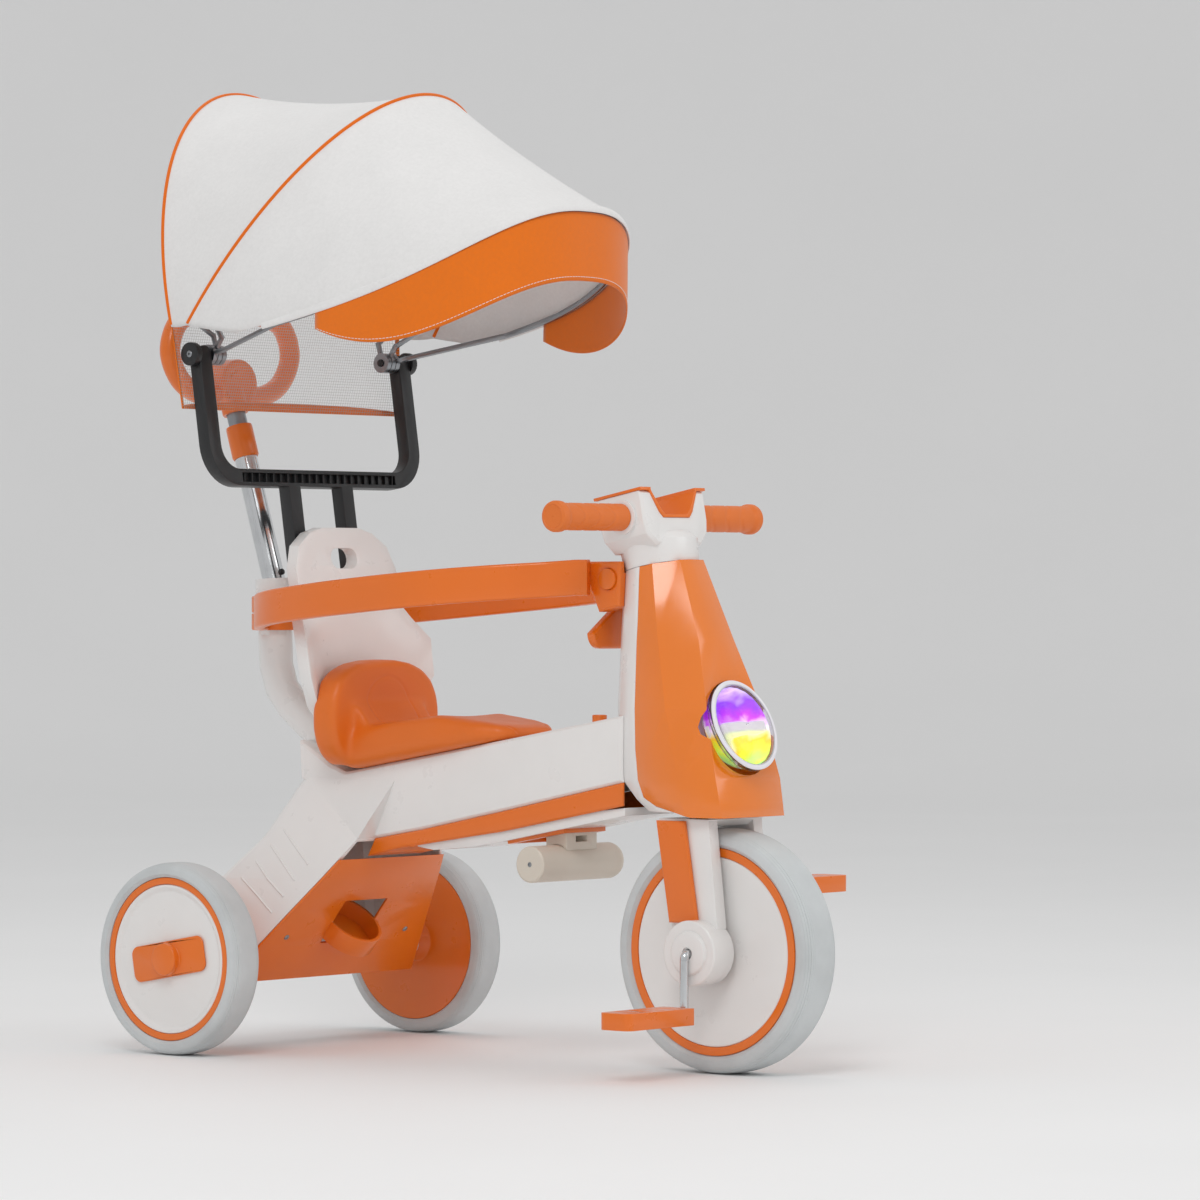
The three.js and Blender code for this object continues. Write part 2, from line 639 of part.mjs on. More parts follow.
function lamp() {
  const turn = (profile) => {
    const points = profile.map(([r, y]) => new THREE.Vector2(r, y));
    const body = new THREE.LatheGeometry(points, 36);
    body.applyQuaternion(new THREE.Quaternion().setFromUnitVectors(new THREE.Vector3(0, 1, 0), lampAxis));
    return solid(body.translate(LAMP.x, LAMP.y, LAMP.z));
  };
  const cup = [
    [0, -LAMP_DEPTH],
    [LAMP_R - 8, -LAMP_DEPTH],
    [LAMP_R, -2],
    [LAMP_R + 3, 4],
    [LAMP_R + 3, 8],
    [LAMP_R - 4, 8],
    [LAMP_R - 12, -LAMP_DEPTH + 3],
    [0, -LAMP_DEPTH + 3],
  ];
  add("lamp_housing", turn(cup), CLEAR);
  const lens = [
    [0, 8 + GAP],
    [LAMP_R + 2, 8 + GAP],
    [LAMP_R - 2, 10.5],
    [LAMP_R / 2, 13],
    [0, 14],
  ];
  add("lamp_lens", turn(lens), CLEAR);
}

// ---- Body: white beam and rear legs, orange trim, white belly, orange rear panel ----
const BEAM_TOP = [
  [192, 364],
  [60, 341],
  [-192, 298],
  [-213, 305],
  [-259, 331],
];
const TRIM_TOP = [
  [192, 295],
  [27, 261],
  [-84, 239],
  [-150, 228],
];
const TRIM_LOW = [
  [192, 271],
  [27, 240],
  [-14, 234],
  [-113, 219],
  [-160, 209],
];
// Rear legs, level by level: height, half width at the front and rear edges, rear x, front x.
const LEG_LEVELS = [
  { z: 291, half: 45, halfRear: 45, rear: -257, front: -120 },
  { z: 228, half: 72, halfRear: 82, rear: -282, front: -150 },
  { z: 184, half: 95, halfRear: 118, rear: -312, front: -184 },
  { z: 150, half: 112, halfRear: 140, rear: -330, front: -212 },
  { z: 110, half: 132, halfRear: 150, rear: -340, front: -244 },
  { z: 74, half: 144, halfRear: 152, rear: -342, front: -268 },
];
const PANEL_SEAT = 0.8; // the panel's back stands this far off the legs' front edges
const PANEL = 4; // and its front this far

const PANEL_TOP_Z = 200; // below this height the legs are open to the front, where the panel closes them

function legRing({ z, half, halfRear, rear, front }, inset, frontReach) {
  const x1 = front + (z > PANEL_TOP_Z ? -inset : frontReach);
  const soft = 14;
  const slope = (halfRear - half) / (front - rear - soft);
  const h = half - inset - slope * (x1 - front);
  const r = halfRear - inset;
  const x0 = rear + inset;
  const plan = [
    [x0, -r + soft],
    [x0 + 4, -r + 4],
    [x0 + soft, -r],
    [x1, -h],
    [x1, h],
    [x0 + soft, r],
    [x0 + 4, r - 4],
    [x0, r - soft],
  ];
  return plan.map(([x, y]) => new THREE.Vector3(x, y, z));
}

function legsLoft(inset, frontReach, drop) {
  const rings = LEG_LEVELS.map((level) => legRing(level, inset, frontReach));
  const last = LEG_LEVELS[LEG_LEVELS.length - 1];
  if (drop) rings.push(legRing({ ...last, z: last.z - drop }, inset, frontReach));
  return loft(rings);
}

function beamShell() {
  const w = BEAM_HALF_WIDTH;
  const outline = [...BEAM_TOP, [-257, 290], [-150, 228 + GAP], [-84, 239 + GAP], [27, 261 + GAP], [192, 295 + GAP]];
  const beam = sideSlab(outline, -w, w, 3);
  const hollow = [
    [230, 362],
    [60, 335],
    [-190, 292],
    [-213, 298],
    [-250, 318],
    [-250, 270],
    [-150, 200],
    [-84, 210],
    [230, 270],
  ];
  const inside = sideSlab(hollow, -w + WALL, w - WALL);
  const legs = legsLoft(0, 0, 0);
  const legsInside = legsLoft(WALL, 60, 30);
  const rearCut = sideSlab([[-150, 229], [-60, 243], [-60, 120], [-150, 120]], -200, 200);
  const whole = join(cut(beam, inside), cut(legs, rearCut, legsInside));
  const { x, z } = REAR_AXLE;
  const boss = (y0, y1) => rodY(x, z, y0, y1, 17, 24);
  const reach = REAR_TRACK / 2 + REAR_HUB_INNER - RUNNING_GAP;
  const axleHole = rodY(x, z, -200, 200, AXLE_R + GAP, 20);
  const hub = boss(125, reach);
  const socket = cut(join(whole, hub, mirrorY(hub)), axleHole, postSolid(GAP + 0.1), buttonWell(GAP), seatBackTongue(GAP));
  add("beam_shell", cut(socket, columnSpace()), WHITE);
  add("rear_axle", rodY(x, z, -REAR_TRACK / 2 - 6, REAR_TRACK / 2 + 6, AXLE_R, 16), STEEL);
}

// The column's outer surface with a little clearance, which the beam's front end meets.
function columnSpace() {
  return columnLoft(-GAP);
}

// Cross ties hold the trim's two sides and the footrest's rail together.
const TIES = [-100, 30, 92];

function tieOutline(x, grow) {
  const low = railZ(x) + 5 - grow;
  const high = railZ(x) + 12 + grow;
  return [[x - grow, low], [x + 6 + grow, low], [x + 6 + grow, high], [x - grow, high]];
}

function beamTrim() {
  const w = BEAM_HALF_WIDTH;
  const outline = [...TRIM_TOP, ...[...TRIM_LOW].reverse()];
  const trim = sideSlab(outline, -w, w, 2);
  const inner = sideSlab([[230, 320], [-140, 250], [-140, 190], [230, 240]], -w + WALL, w - WALL);
  const rail = railBlock();
  const walls = cut(trim, inner, legsLoft(-GAP, PANEL + GAP, 30));
  const ties = TIES.map((x) => sideSlab(tieOutline(x, 0), -w + 1, w - 1));
  add("beam_trim", cut(join(walls, rail, ...ties), footSlot(), columnSpace()), ORANGE);
}

// The footrest's rail is a block under the beam, in line with the beam's rise.
const RAIL_RISE = 0.19;
const FOOT_X = 87;
const FOOT_TRAVEL = 42;
const railZ = (x) => 240 + (x - 27) * RAIL_RISE;
const RAIL_BACK = 22;
const RAIL_FRONT = 104;

function railBlock() {
  const outline = [
    [RAIL_BACK, railZ(RAIL_BACK) + 8],
    [RAIL_FRONT, railZ(RAIL_FRONT) + 8],
    [RAIL_FRONT + 1, railZ(RAIL_FRONT) - 14],
    [RAIL_BACK + 7, railZ(RAIL_BACK) - 12],
  ];
  return cut(sideSlab(outline, -34, 34), footSlot());
}

const STEM_HALF_Y = 25;
const STEM_HALF_X = 14;
const FOOT_HEAD = 4;

function footSlot() {
  const x0 = FOOT_X - STEM_HALF_X - FOOT_TRAVEL - RUNNING_GAP;
  const x1 = FOOT_X + STEM_HALF_X + RUNNING_GAP;
  const slot = (low, high, reach) => {
    const a = x0 - reach;
    const b = x1 + reach / 4;
    const outline = [[a, railZ(a) + low], [b, railZ(b) + low], [b, railZ(b) + high], [a, railZ(a) + high]];
    return outline;
  };
  const neck = sideSlab(slot(-30, 0, 0), -STEM_HALF_Y - RUNNING_GAP, STEM_HALF_Y + RUNNING_GAP);
  const headHalf = STEM_HALF_Y + 3 + RUNNING_GAP;
  const head = sideSlab(slot(-8, -2.5, 1), -headHalf, headHalf);
  return join(neck, head);
}

function footrest() {
  const z0 = 208.5;
  const a = FOOT_X - STEM_HALF_X;
  const b = FOOT_X + STEM_HALF_X;
  const top = -3.2;
  const outline = [[a, z0], [b, z0], [b, railZ(b) + top], [a, railZ(a) + top]];
  const neck = sideSlab(outline, -STEM_HALF_Y, STEM_HALF_Y);
  const channel = block(a + 6, b + 5, -9, 9, z0 + ROLLER_R + 3, railZ(a) - 12);
  const headBase = top - FOOT_HEAD;
  const head = [[a, railZ(a) + headBase], [b, railZ(b) + headBase], [b, railZ(b) + top], [a, railZ(a) + top]];
  const barSpace = rodY(FOOT_X, z0, -100, 100, ROLLER_R + GAP, 28);
  const screw = rod(new THREE.Vector3(FOOT_X, 0, z0 + 4), new THREE.Vector3(FOOT_X, 0, z0 + ROLLER_R + 6), 4, 14);
  const stem = join(cut(neck, channel, barSpace), sideSlab(head, -STEM_HALF_Y - 3, STEM_HALF_Y + 3), screw);
  add("footrest_stem", stem, CREAM);
  const half = ROLLER_WIDTH / 2;
  const profile = [
    [0, -half],
    [ROLLER_R - 1.5, -half],
    [ROLLER_R, -half + 1.5],
    [ROLLER_R, half - 8],
    [ROLLER_R - 3, half - 2],
    [ROLLER_R - 9, half],
    [0, half],
  ];
  const hole = rod(new THREE.Vector3(FOOT_X, 0, z0 + 4 - GAP), new THREE.Vector3(FOOT_X, 0, z0 + 40), 4 + GAP, 14);
  add("footrest_bar", cut(turnedY(profile, FOOT_X, z0, 28), hole), CREAM);
}

function belly() {
  const depth = 10;
  const outline = [
    [192, 269],
    [192, 271 - depth],
    [27, 240 - depth],
    [-14, 234 - depth - 1],
    [-70, 226 - depth + 2],
    [-92, 221],
    [-92, 227],
    [27, 250],
  ];
  const half = BEAM_HALF_WIDTH - WALL - 1;
  const shell = sideSlab(outline, -half, half);
  const clearRail = sideSlab([[20, 225], [20, 300], [107, 300], [107, 225]], -34 - GAP, 34 + GAP);
  const ties = TIES.map((x) => sideSlab(tieOutline(x, GAP), -60, 60));
  add("belly", cut(shell, clearRail, ...ties, columnSpace()), WHITE);
}

function rearPanel() {
  const [, above, below] = LEG_LEVELS;
  const top = { z: (above.z + below.z) / 2, half: (above.half + below.half) / 2, front: (above.front + below.front) / 2 };
  const rings = [top, ...LEG_LEVELS.slice(2)].map(({ z, half, front }) => {
    const h = half - 0.5;
    const plan = [
      [front + PANEL_SEAT, -h],
      [front + PANEL, -h],
      [front + PANEL, 0],
      [front + PANEL, h],
      [front + PANEL_SEAT, h],
      [front + PANEL_SEAT, 0],
    ];
    return plan.map(([x, y]) => new THREE.Vector3(x, y, z));
  });
  const sheet = loft(rings);
  const lean = THREE.MathUtils.degToRad(49);
  const normal = new THREE.Vector3(Math.cos(lean), 0, Math.sin(lean));
  const centre = new THREE.Vector3(-221, 0, 137);
  const along = (distance) => centre.clone().addScaledVector(normal, distance);
  const disc = (radius, from, to) => rod(along(from), along(to), radius, 24);
  const cup = cut(disc(36, -22, 0), disc(32, -19, 40));
  const panel = join(cut(sheet, disc(34, -30, 30)), cup);
  add("rear_panel", panel, ORANGE);
}

// The lock button on top of the beam, in its well.
const BUTTON_X = 125;
const BUTTON_R = 8;
const BUTTON_TOP = 363;

function buttonWell(grow) {
  return rod(new THREE.Vector3(BUTTON_X, 0, 330), new THREE.Vector3(BUTTON_X, 0, 372), BUTTON_R + grow, 20);
}

function beamButton() {
  const top = new THREE.Vector3(BUTTON_X, 0, BUTTON_TOP);
  const lip = rod(new THREE.Vector3(BUTTON_X, 0, 338), new THREE.Vector3(BUTTON_X, 0, 341), BUTTON_R + 3, 20);
  add("beam_button", join(rod(new THREE.Vector3(BUTTON_X, 0, 338), top, BUTTON_R - GAP, 20), lip), ORANGE);
}

// ---- Seat ----
function seatRing(x, z, halfWidth, thickness, lean) {
  const ring = [];
  const corner = Math.min(thickness / 2 - 0.5, 12);
  for (const [sy, sz, start] of [[1, 1, 0], [-1, 1, 1], [-1, -1, 2], [1, -1, 3]]) {
    for (let k = 0; k <= 2; k += 1) {
      const angle = (start + k / 2) * (Math.PI / 2);
      const y = sy * (halfWidth - corner) + corner * Math.cos(angle);
      const up = sz * (thickness / 2 - corner) + corner * Math.sin(angle);
      ring.push(new THREE.Vector3(x - up * Math.sin(lean), y, z + up * Math.cos(lean)));
    }
  }
  return ring;
}

const beamTopZ = (x) => 298 + (x + 192) * (43 / 252);

function seatPad() {
  const w = SEAT_HALF_WIDTH;
  const pan = (x, halfWidth, thickness) => {
    const z = beamTopZ(x) + 0.8 + thickness / 2;
    return seatRing(x, z, halfWidth, thickness, 0.17);
  };
  const stations = [pan(-180, w, 42), pan(-120, w, 42), pan(-50, w, 38), pan(0, w - 6, 24), pan(24, w - 17, 16)];
  const cushion = loft([...stations, pan(36, w - 32, 10)]);
  const arch = new THREE.Shape();
  arch.moveTo(-w, 306);
  arch.lineTo(w, 306);
  arch.bezierCurveTo(86, 318, 92, 350, 84, 380);
  arch.bezierCurveTo(74, 412, 40, 418, 0, 418);
  arch.bezierCurveTo(-40, 418, -74, 412, -84, 380);
  arch.bezierCurveTo(-92, 350, -86, 318, -w, 306);
  const back = frontSlab(arch, -204, -170, 5);
  const fill = sideSlab([[-190, 330], [-120, 330], [-150, 350], [-178, 385], [-190, 385]], -w + 6, w - 6);
  const clearance = sideSlab([[60, 341.5], [-192, 298.5], [-213, 305.5], [-259, 331.5], [-259, 250], [60, 250]], -95, 95);
  add("seat_pad", cut(join(cushion, back, fill), clearance, seatBackLoft(0.6), seatBackTongue(0.4)), ORANGE);
}

const SEAT_BACK_LEVELS = [
  { z: 340, half: 44, x: -214, wrap: 4 },
  { z: 368, half: 80, x: -216, wrap: 18 },
  { z: 400, half: 99, x: -219, wrap: 28 },
  { z: 440, half: 100, x: -223, wrap: 26 },
  { z: 462, half: 88, x: -226, wrap: 12 },
  { z: 476, half: 80, x: -227, wrap: 5 },
  { z: 515, half: 80, x: -232, wrap: 2 },
  { z: 540, half: 70, x: -236, wrap: 1 },
  { z: 554, half: 50, x: -238, wrap: 0 },
  { z: 560, half: 28, x: -239, wrap: 0 },
];
const SEAT_BACK_THICKNESS = 16;

function seatBackLoft(grow) {
  const across = [-1, -0.8, -0.45, 0, 0.45, 0.8, 1];
  const scale = SEAT_BACK_WIDTH / 160;
  const rings = SEAT_BACK_LEVELS.map(({ z, half, x, wrap }) => {
    const front = across.map((s) => new THREE.Vector3(x + wrap * s * s + grow, s * (half * scale + grow), z));
    const rear = [...across].reverse().map((s) => {
      const back = x - SEAT_BACK_THICKNESS + wrap * s * s * 0.9;
      return new THREE.Vector3(back - grow, s * (half * scale - 2 + grow), z);
    });
    return [...front, ...rear];
  });
  return loft(rings);
}

function seatBack() {
  const hole = new THREE.Shape();
  hole.absarc(-10, 527, 11, Math.PI / 2, 1.5 * Math.PI);
  hole.absarc(10, 527, 11, -Math.PI / 2, Math.PI / 2);
  const window = frontSlab(hole, -300, -200);
  const tongue = seatBackTongue(0);
  const lug = sideSlab([[-232, 520], [-246, 520], [-252, 470], [-252, 440], [-236, 440]], -56, 56);
  const sockets = bracketLegs(GAP);
  add("seat_back", cut(join(seatBackLoft(0), tongue, lug), window, sockets, postSolid(GAP)), WHITE);
}

// The foot of the seat back, which stands in the beam behind the pad.
function seatBackTongue(grow) {
  const outline = [
    [-230 - grow, 352],
    [-213 - 0.4 + grow, 352],
    [-213 - 0.4 + grow, 300 - grow],
    [-230 - grow, 300 - grow],
  ];
  return sideSlab(outline, -30 - grow, 30 + grow);
}

// ---- Rear post, push pole and handle ----
const POST_X = -335;
const POST_PATH = [
  new THREE.Vector3(POST_X, 0, 490),
  new THREE.Vector3(POST_X, 0, 465),
  new THREE.Vector3(POST_X, 0, 440),
  new THREE.Vector3(POST_X + 1, 0, 412),
  new THREE.Vector3(-324, 0, 384),
  new THREE.Vector3(-300, 0, 360),
  new THREE.Vector3(-268, 0, 338),
  new THREE.Vector3(-246, 0, 318),
];

function postSolid(grow) {
  return tube(POST_PATH, POST_R - 1.5 + grow, 8, 14);
}

const poleUp = new THREE.Vector3(-Math.sin(POLE_LEAN), 0, Math.cos(POLE_LEAN));
const polePoint = (height) => POST_TOP.clone().addScaledVector(poleUp, height);
const POLE_SEAT = -20;
const SLEEVE_GRIP = 16; // how far the sleeve holds the chrome tube

function rearPost() {
  const sleeve = rod(new THREE.Vector3(POST_X, 0, 444), new THREE.Vector3(POST_X, 0, 488.5), POST_R - 1.5, 20);
  const collar = rod(new THREE.Vector3(POST_X, 0, 488), new THREE.Vector3(POST_X - 1, 0, 505), POST_R + 1.5, 20);
  const socket = rod(polePoint(POLE_SEAT - GAP), polePoint(60), POLE_R + GAP, 24);
  add("rear_post", cut(join(postSolid(0), sleeve, collar), socket), WHITE);
}

function pushPole() {
  const outer = rod(polePoint(POLE_SEAT), polePoint(POLE_LENGTH), POLE_R, 24);
  const bore = rod(polePoint(POLE_SEAT - 5), polePoint(POLE_LENGTH + 5), POLE_INNER_R + RUNNING_GAP, 24);
  const buttonHole = poleButtonSolid(RUNNING_GAP);
  add("push_tube", cut(outer, bore, buttonHole), CHROME);
  const sleeve = rod(polePoint(POLE_LENGTH - SLEEVE_GRIP), polePoint(POLE_LENGTH + 21), POLE_R + 2.2, 24);
  const seat = rod(polePoint(POLE_LENGTH - SLEEVE_GRIP - 1), polePoint(POLE_LENGTH + GAP), POLE_R + GAP, 24);
  const pass = rod(polePoint(POLE_LENGTH - SLEEVE_GRIP - 1), polePoint(POLE_LENGTH + 30), POLE_INNER_R + RUNNING_GAP, 24);
  add("pole_sleeve", cut(sleeve, seat, pass), ORANGE);
  const hubBase = HUB_HEIGHT - HUB_R;
  const inner = rod(polePoint(18), polePoint(hubBase + 12), POLE_INNER_R, 24);
  add("pole_inner", inner, STEEL);
  add("pole_button", poleButtonSolid(0), BLACK);
  add("push_handle", pushHandle(), ORANGE);
}

function poleButtonSolid(grow) {
  const out = new THREE.Vector3(-Math.cos(POLE_LEAN), 0, -Math.sin(POLE_LEAN)).multiplyScalar(-1);
  const base = polePoint(9);
  const from = base.clone().addScaledVector(out, grow ? 0 : 1);
  return rod(from, base.clone().addScaledVector(out, POLE_R + (grow ? 4 : 3)), 3.4 + grow, 14);
}

const HUB_HEIGHT = 229; // along the pole, from the collar to the middle of the hub
const HUB_R = 28;

function pushHandle() {
  const hub = polePoint(HUB_HEIGHT);
  const half = HANDLE_WIDTH / 2 - HANDLE_TUBE_R;
  const hz = hub.z;
  const y = (s) => s * half;
  const point = (s, dz) => new THREE.Vector3(hub.x + 2, y(s), hz + dz);
  const loopPoints = [
    point(0, -4),
    point(0.45, -12),
    point(0.82, 2),
    point(1, 34),
    point(0.86, 66),
    point(0.45, 78),
    point(0, 80),
    point(-0.45, 78),
    point(-0.86, 66),
    point(-1, 34),
    point(-0.82, 2),
    point(-0.45, -12),
  ];
  const loop = tube(loopPoints, HANDLE_TUBE_R, 26, 8, true);
  const disc = rod(new THREE.Vector3(hub.x - 17, 0, hz), new THREE.Vector3(hub.x + 17, 0, hz), HUB_R, 24);
  const neck = rod(polePoint(HUB_HEIGHT - HUB_R - 6), polePoint(HUB_HEIGHT), POLE_R + 2, 24);
  const seat = rod(polePoint(0), polePoint(HUB_HEIGHT - HUB_R + 12 + GAP), POLE_INNER_R + GAP, 24);
  return cut(join(loop, disc, neck), seat);
}

// ---- Guard rail: two bands that swing from the post and meet at a block behind the column ----
const RAIL_PIVOT = new THREE.Vector3(POST_X, 0, 468);
const KNUCKLE_R = POST_R + 6;
const RAIL_PLAN = [
  [-336, 15],
  [-306, 56],
  [-276, 86],
  [-240, 107],
  [-190, 121],
  [-130, 130],
  [-30, 133],
  [30, 121],
  [75, 98],
  [112, 68],
  [152, 50.5],
];
const railBottom = (x) => 449 + 38 * Math.min(1, Math.max(0, (x + 300) / 440)) ** 0.85;

function railBand() {
  const path = new THREE.CatmullRomCurve3(RAIL_PLAN.map(([x, y]) => new THREE.Vector3(x, y, 0)), false, "centripetal");
  const steps = 14;
  const rings = [];
  for (let i = 0; i <= steps; i += 1) {
    const p = path.getPointAt(i / steps);
    const t = path.getTangentAt(i / steps);
    const side = new THREE.Vector3(-t.y, t.x, 0).normalize();
    const z = railBottom(p.x);
    const half = RAIL_THICKNESS / 2;
    const soft = 3;
    const section = [
      [-half, soft],
      [-half + soft, 0],
      [half - soft, 0],
      [half, soft],
      [half, RAIL_HEIGHT - soft],
      [half - soft, RAIL_HEIGHT],
      [-half + soft, RAIL_HEIGHT],
      [-half, RAIL_HEIGHT - soft],
    ];
    rings.push(section.map(([a, b]) => new THREE.Vector3(p.x + side.x * a, p.y + side.y * a, z + b)));
  }
  return loft(rings);
}

function guardRails() {
  const pivot = RAIL_PIVOT;
  const knuckle = (z0, z1) => {
    const at = (z) => new THREE.Vector3(pivot.x, 0, z);
    return cut(rod(at(z0), at(z1), KNUCKLE_R, 24), rod(at(z0 - 5), at(z1 + 5), POST_R - 1.5 + 1.2, 24));
  };
  const middle = 449 + RAIL_HEIGHT / 2;
  const clear = RUNNING_GAP / 2;
  const band = railBand();
  const keepOut = (z0, z1) => rod(new THREE.Vector3(pivot.x, 0, z0), new THREE.Vector3(pivot.x, 0, z1), KNUCKLE_R + 0.8, 24);
  const bore = rod(new THREE.Vector3(pivot.x, 0, 430), new THREE.Vector3(pivot.x, 0, 520), POST_R - 0.3, 24);
  const left = join(cut(band, keepOut(middle - clear, 500)), knuckle(449, middle - clear));
  const right = join(cut(mirrorY(band), keepOut(430, middle + clear)), knuckle(middle + clear, 486));
  add("guard_rail_left", cut(left, bore), ORANGE);
  add("guard_rail_right", cut(right, bore), ORANGE);
}

const BLOCK_HALF = 43.5;
const GUARD_BUTTON = { x: 172, z: 504, radius: 11 };

function guardBlock() {
  const side = [
    [143, 522],
    [188, 522],
    [186, 476],
    [159, 470],
    [147, 496],
  ];
  const rearPlate = new THREE.Shape();
  const half = 38;
  const low = 432;
  rearPlate.moveTo(-half, 500);
  rearPlate.absarc(-half + 16, low + 16, 16, Math.PI, 1.5 * Math.PI);
  rearPlate.absarc(half - 16, low + 16, 16, -Math.PI / 2, 0);
  rearPlate.lineTo(half, 500);
  const tongue = frontSlab(rearPlate, 138, 148, 2);
  const body = sideSlab(side, -BLOCK_HALF, BLOCK_HALF, 2);
  const hollow = block(153, 180, -BLOCK_HALF + 20, BLOCK_HALF - 20, 440, 516);
  const { x, z, radius } = GUARD_BUTTON;
  const well = rodY(x, z, BLOCK_HALF - 12, BLOCK_HALF + 5, radius + RUNNING_GAP, 24);
  const blockBody = cut(join(body, tongue), hollow, well, mirrorY(well));
  const neckSpace = rod(steeringPoint(COLUMN_TOP - 2), steeringPoint(COLUMN_TOP + 40), NECK_R + 2, 24);
  add("guard_block", cut(blockBody, columnSpace(), neckSpace), ORANGE);
  const button = rodY(x, z, BLOCK_HALF - 7, BLOCK_HALF + 3, radius, 24);
  add("guard_button_left", button, ORANGE);
  add("guard_button_right", mirrorY(button), ORANGE);
}

// ---- Canopy ----
// In the bracket's leaning frame the origin is at its foot and z runs up to the pivots.
function bracketOutline() {
  const w = BRACKET_HALF_WIDTH;
  const b = BRACKET_BAR;
  const barLow = 46;
  const corner = 44;
  const outline = new THREE.Shape();
  outline.moveTo(w, PIVOT_HEIGHT);
  outline.absarc(w - b / 2, PIVOT_HEIGHT, b / 2, 0, Math.PI);
  outline.lineTo(w - b, barLow + b + corner - b);
  outline.absarc(w - corner, barLow + corner, corner - b, 0, -Math.PI / 2, true);
  outline.absarc(-w + corner, barLow + corner, corner - b, -Math.PI / 2, -Math.PI, true);
  outline.lineTo(-w + b, PIVOT_HEIGHT);
  outline.absarc(-w + b / 2, PIVOT_HEIGHT, b / 2, 0, Math.PI);
  outline.lineTo(-w, barLow + corner);
  outline.absarc(-w + corner, barLow + corner, corner, Math.PI, 1.5 * Math.PI);
  outline.lineTo(w - corner, barLow);
  outline.absarc(w - corner, barLow + corner, corner, -Math.PI / 2, 0);
  return outline;
}

const BRACKET_LEG_Y = 42;
const BRACKET_LEG_LOW = -46;
const BRACKET_HALF_DEPTH = 8;

function legPair(grow) {
  const half = BRACKET_BAR / 2 + grow;
  const depth = BRACKET_HALF_DEPTH + grow;
  const leg = block(-depth, depth, BRACKET_LEG_Y - half, BRACKET_LEG_Y + half, BRACKET_LEG_LOW - grow, 50);
  return join(leg, mirrorY(leg));
}

function bracketLegs(grow) {
  const leaned = legPair(grow).rotate([0, -THREE.MathUtils.radToDeg(BRACKET_LEAN), 0]);
  return leaned.translate([BRACKET_FOOT.x, BRACKET_FOOT.y, BRACKET_FOOT.z]);
}

function canopyBracket() {
  const frame = leaningGroup(BRACKET_FOOT, BRACKET_LEAN);
  const d = BRACKET_HALF_DEPTH;
  const yoke = frontSlab(bracketOutline(), -d, d);
  const pivotHole = rodY(0, PIVOT_HEIGHT, -200, 200, 4 + GAP, 16);
  const channel = frontSlab(bracketChannel(), d - 5, d + 5);
  add("canopy_bracket", cut(join(yoke, legPair(0)), pivotHole, channel), BLACK, frame);
  const outer = BRACKET_HALF_WIDTH + 3;
  const head = rodY(0, PIVOT_HEIGHT, outer + GAP - 3, outer + 5, 12.5, 24);
  const pin = rodY(0, PIVOT_HEIGHT, 127, outer, 4, 16);
  add("pivot_knob_left", join(head, pin), BLACK, frame);
  add("pivot_knob_right", mirrorY(join(head, pin)), BLACK, frame);
}

// A shallow channel down the front of the bracket's lower bar.
function bracketChannel() {
  const w = BRACKET_HALF_WIDTH - 46;
  return [
    [-w, 50],
    [w, 50],
    [w, 60],
    [-w, 60],
  ];
}

const PIVOT = BRACKET_FOOT.clone().add(
  new THREE.Vector3(-Math.sin(BRACKET_LEAN), 0, Math.cos(BRACKET_LEAN)).multiplyScalar(PIVOT_HEIGHT),
);

// Canopy edges. Each runs from the right side over the top to the left, with t from -1 to 1.
const REAR_TILT = THREE.MathUtils.degToRad(-17);
const MIDDLE_TILT = THREE.MathUtils.degToRad(34.8);
const REAR_REACH = 300;
const MIDDLE_REACH = 329;
const CANOPY_HALF_WIDTH = 186;

function archPoint(t, tilt, reach, halfWidth, base) {
  const angle = (t * Math.PI) / 2;
  const y = halfWidth * Math.sin(angle);
  const r = base + (reach - base) * Math.cos(angle);
  return new THREE.Vector3(PIVOT.x + r * Math.sin(tilt), y, PIVOT.z + r * Math.cos(tilt));
}

const rearEdge = (t) => archPoint(t, REAR_TILT, REAR_REACH, CANOPY_HALF_WIDTH, 10);
const middleEdge = (t) => archPoint(t, MIDDLE_TILT, MIDDLE_REACH, CANOPY_HALF_WIDTH + 6, 14);

// The brim runs forward from the pivots, low along the sides and rising to the front.
const BRIM_REACH = 384;
function brimEdge(t) {
  const angle = (t * Math.PI) / 2;
  const side = Math.abs(Math.sin(angle));
  const front = Math.cos(angle);
  const x = PIVOT.x + 14 + BRIM_REACH * front ** 0.62;
  const y = CANOPY_HALF_WIDTH * Math.sign(t) * side ** 0.8;
  const ahead = (x - PIVOT.x) / BRIM_REACH;
  const z = PIVOT.z + 4 + 66 * ahead + 62 * ahead ** 4;
  return new THREE.Vector3(x, y, z);
}

function fabricPoint(t, s, outward) {
  const rear = rearEdge(t);
  const middle = middleEdge(t);
  const brim = brimEdge(t);
  const crown = Math.cos((t * Math.PI) / 2);
  let p;
  if (s < 1) {
    p = rear.lerp(middle, s);
    p.z -= 44 * s * (1 - s) * crown;
  } else {
    p = middle.lerp(brim, s - 1);
    const bulge = 4 * (s - 1) * (2 - s);
    p.z -= 8 * bulge * crown;
    p.y *= 1 + 0.02 * bulge;
  }
  const centre = new THREE.Vector3(PIVOT.x + 90, 0, PIVOT.z - 20);
  const away = p.clone().sub(centre).normalize();
  return p.addScaledVector(away, outward);
}

